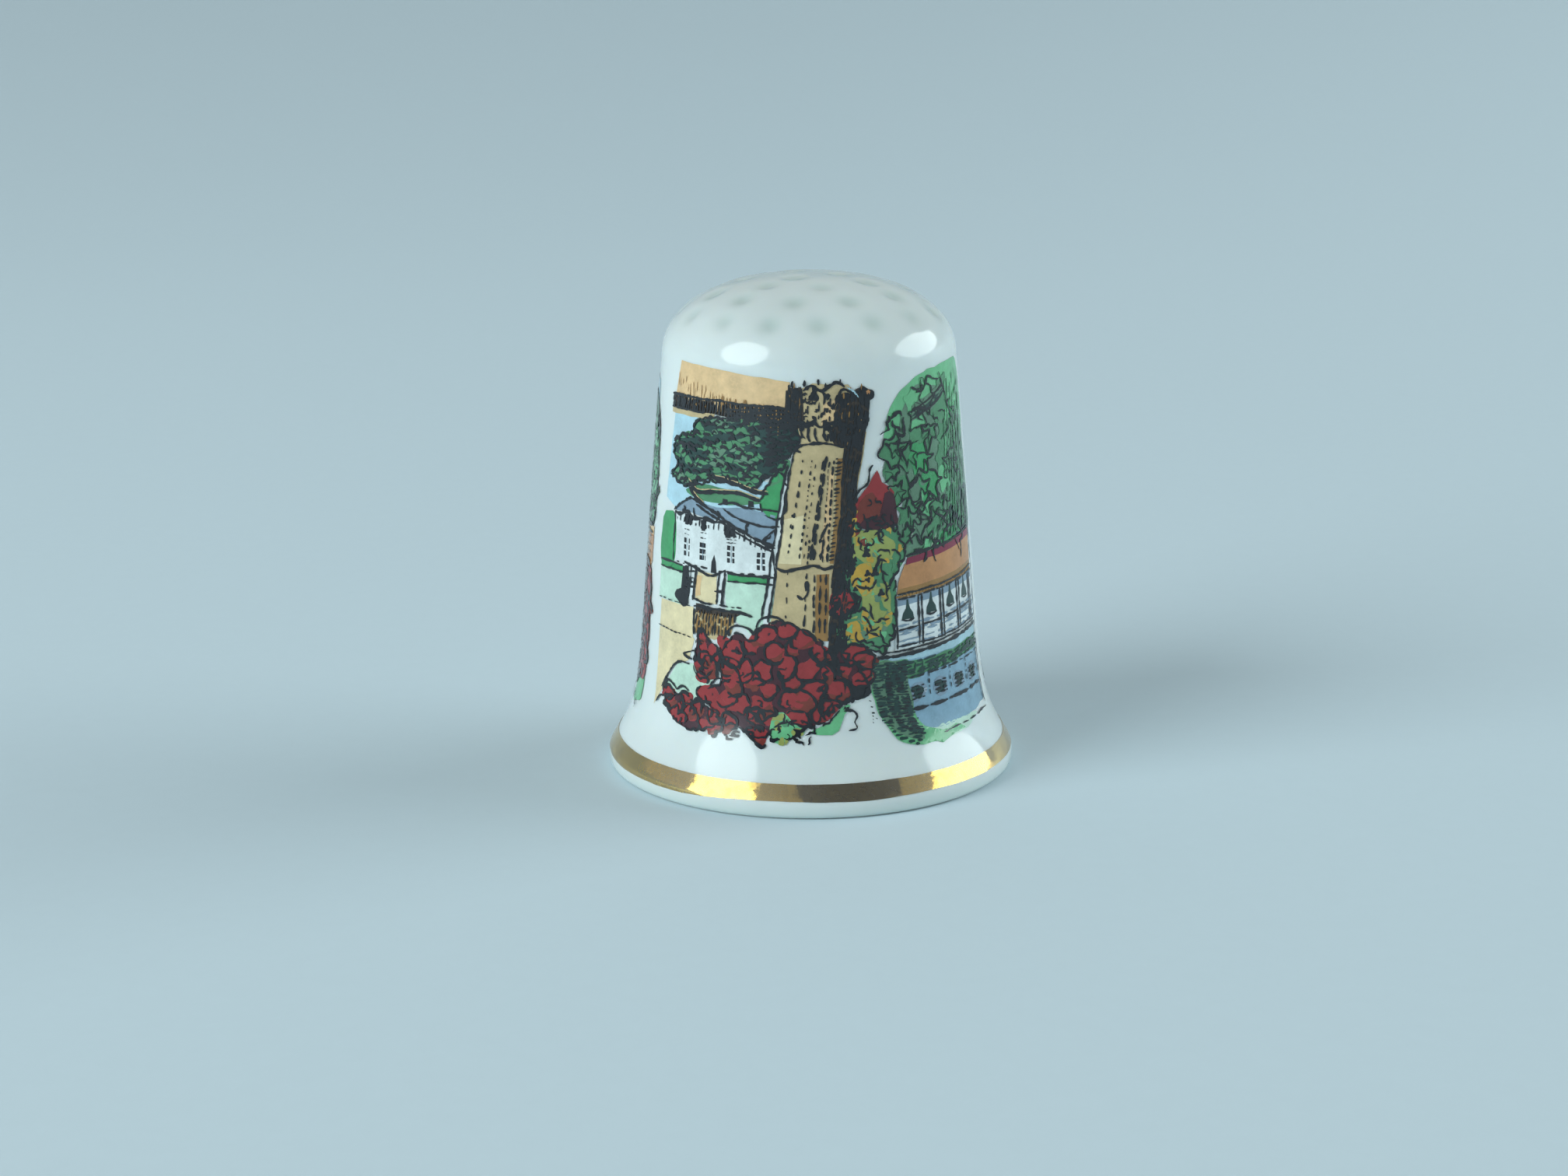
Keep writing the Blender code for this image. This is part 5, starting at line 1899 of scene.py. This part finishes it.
def make_sweep():
    """A round paper sweep: a flat floor that curves up all round."""
    profile = [(0.0, -FLOOR_GAP), (FLOOR_RADIUS / 3, -FLOOR_GAP)]
    for turn in steps(0, math.radians(SWEEP_DEGREES), 16):
        rise = SWEEP_RADIUS * (1 - math.cos(turn)) - FLOOR_GAP
        profile.append((FLOOR_RADIUS + SWEEP_RADIUS * math.sin(turn), rise))
    bm = spun(profile, 128)
    if bm.faces[0].normal.z < 0:
        bmesh.ops.reverse_faces(bm, faces=bm.faces[:])
    sweep = bpy.data.objects.new("paper_sweep", mesh_from(bm, "paper_sweep"))
    sweep.data.materials.append(stage_paper())
    bpy.context.scene.collection.objects.link(sweep)


def make_world():
    """Even room light, dimmer from overhead than from the sides."""
    world = bpy.data.worlds.new("studio_room")
    bpy.context.scene.world = world
    world.use_nodes = True
    room = world.node_tree.nodes["Background"]
    room.inputs["Color"].default_value = (*to_linear(ROOM_LIGHT), 1)
    place = add(world, "ShaderNodeTexCoord").outputs["Generated"]
    rise = add(world, "ShaderNodeSeparateXYZ", links={"Vector": place}).outputs["Z"]
    link(world, ranged(world, rise, 0, 1, ROOM_SIDE_STRENGTH, ROOM_TOP_STRENGTH), room, "Strength")


def aimed(thing, azimuth, elevation):
    """Puts a light or card round the thimble, facing it. Azimuth 0 is the camera's side and 90 is +X."""
    turn, rise = math.radians(azimuth), math.radians(elevation)
    way = Vector((math.sin(turn) * math.cos(rise), -math.cos(turn) * math.cos(rise), math.sin(rise)))
    target = Vector((0, 0, HEIGHT / 2))
    thing.location = (target + way * LIGHT_DISTANCE) * MM
    thing.rotation_euler = way.to_track_quat("Z", "Y").to_euler()
    thing.visible_camera = False
    bpy.context.scene.collection.objects.link(thing)


def make_softbox(name, azimuth, elevation, size_mm, brightness):
    """A softbox. brightness is its radiance, so a change of size leaves its mirror image as bright."""
    light = bpy.data.lights.new(name, "AREA")
    light.shape = "ELLIPSE"
    light.size, light.size_y = (s * MM for s in size_mm)
    light.energy = brightness * math.pi * light.size * light.size_y * math.pi / 4
    light.color = to_linear(ROOM_LIGHT)
    aimed(bpy.data.objects.new(name, light), azimuth, elevation)


def make_card(name, azimuth, elevation, size_mm, hex_colour):
    """A matt card that keeps the room's light off the front, and that the gold mirrors."""
    bm = bmesh.new()
    bmesh.ops.create_grid(bm, size=0.5)
    bmesh.ops.scale(bm, vec=(size_mm[0], size_mm[1], 1), verts=bm.verts)
    card = bpy.data.objects.new(name, mesh_from(bm, name))
    material, shader = new_material(f"{name}_cloth")
    shader.inputs["Base Color"].default_value = (*to_linear(hex_colour), 1)
    shader.inputs["Roughness"].default_value = 0.9
    card.data.materials.append(material)
    aimed(card, azimuth, elevation)


def make_camera():
    """A close, slightly high view of the front, a little off level, as a hand-held camera is."""
    lens = bpy.data.cameras.new("camera")
    lens.lens = CAMERA_LENS
    lens.clip_start = 5 * MM
    lens.clip_end = 10
    camera = bpy.data.objects.new("camera", lens)
    camera.location = (0, -CAMERA_DISTANCE * MM, CAMERA_HEIGHT * MM)
    turn = Matrix.Rotation(math.radians(CAMERA_TURN), 3, "Z")
    pitch = Matrix.Rotation(math.radians(90 - CAMERA_DROP), 3, "X")
    roll = Matrix.Rotation(math.radians(CAMERA_ROLL), 3, "Z")
    camera.rotation_euler = (turn @ pitch @ roll).to_euler()
    bpy.context.scene.collection.objects.link(camera)
    bpy.context.scene.camera = camera


class ThimblePanel(bpy.types.Panel):
    """Lists the thimble's pieces"""

    bl_idname = "VIEW3D_PT_thimble"
    bl_label = "Bone China Thimble"
    bl_space_type = "VIEW_3D"
    bl_region_type = "UI"
    bl_category = "Thimble"

    def draw(self, context):
        for group in (context.scene.thimble_sizes, context.scene.thimble_colours):
            column = self.layout.column(align=True)
            for name in group.__annotations__:
                column.prop(group, name)
        for operator in OPERATORS:
            self.layout.operator(operator.bl_idname)


OPERATORS = (
    BuildBody,
    BuildGiltLine,
    BuildFrontPrint,
    BuildRightPrint,
    BuildBackPrint,
    BuildLeftPrint,
    BuildStage,
)
CLASSES = (ThimbleSizes, ThimbleColours, *OPERATORS, ThimblePanel)


def register():
    for cls in CLASSES:
        bpy.utils.register_class(cls)
    bpy.types.Scene.thimble_sizes = bpy.props.PointerProperty(type=ThimbleSizes)
    bpy.types.Scene.thimble_colours = bpy.props.PointerProperty(type=ThimbleColours)


def unregister():
    del bpy.types.Scene.thimble_colours
    del bpy.types.Scene.thimble_sizes
    for cls in reversed(CLASSES):
        bpy.utils.unregister_class(cls)


def main():
    register()
    bpy.ops.thimble.china_body()
    bpy.ops.thimble.gilt_line()
    bpy.ops.thimble.front_print()
    bpy.ops.thimble.right_print()
    bpy.ops.thimble.back_print()
    bpy.ops.thimble.left_print()
    bpy.ops.thimble.stage()


if __name__ == "__main__":
    main()
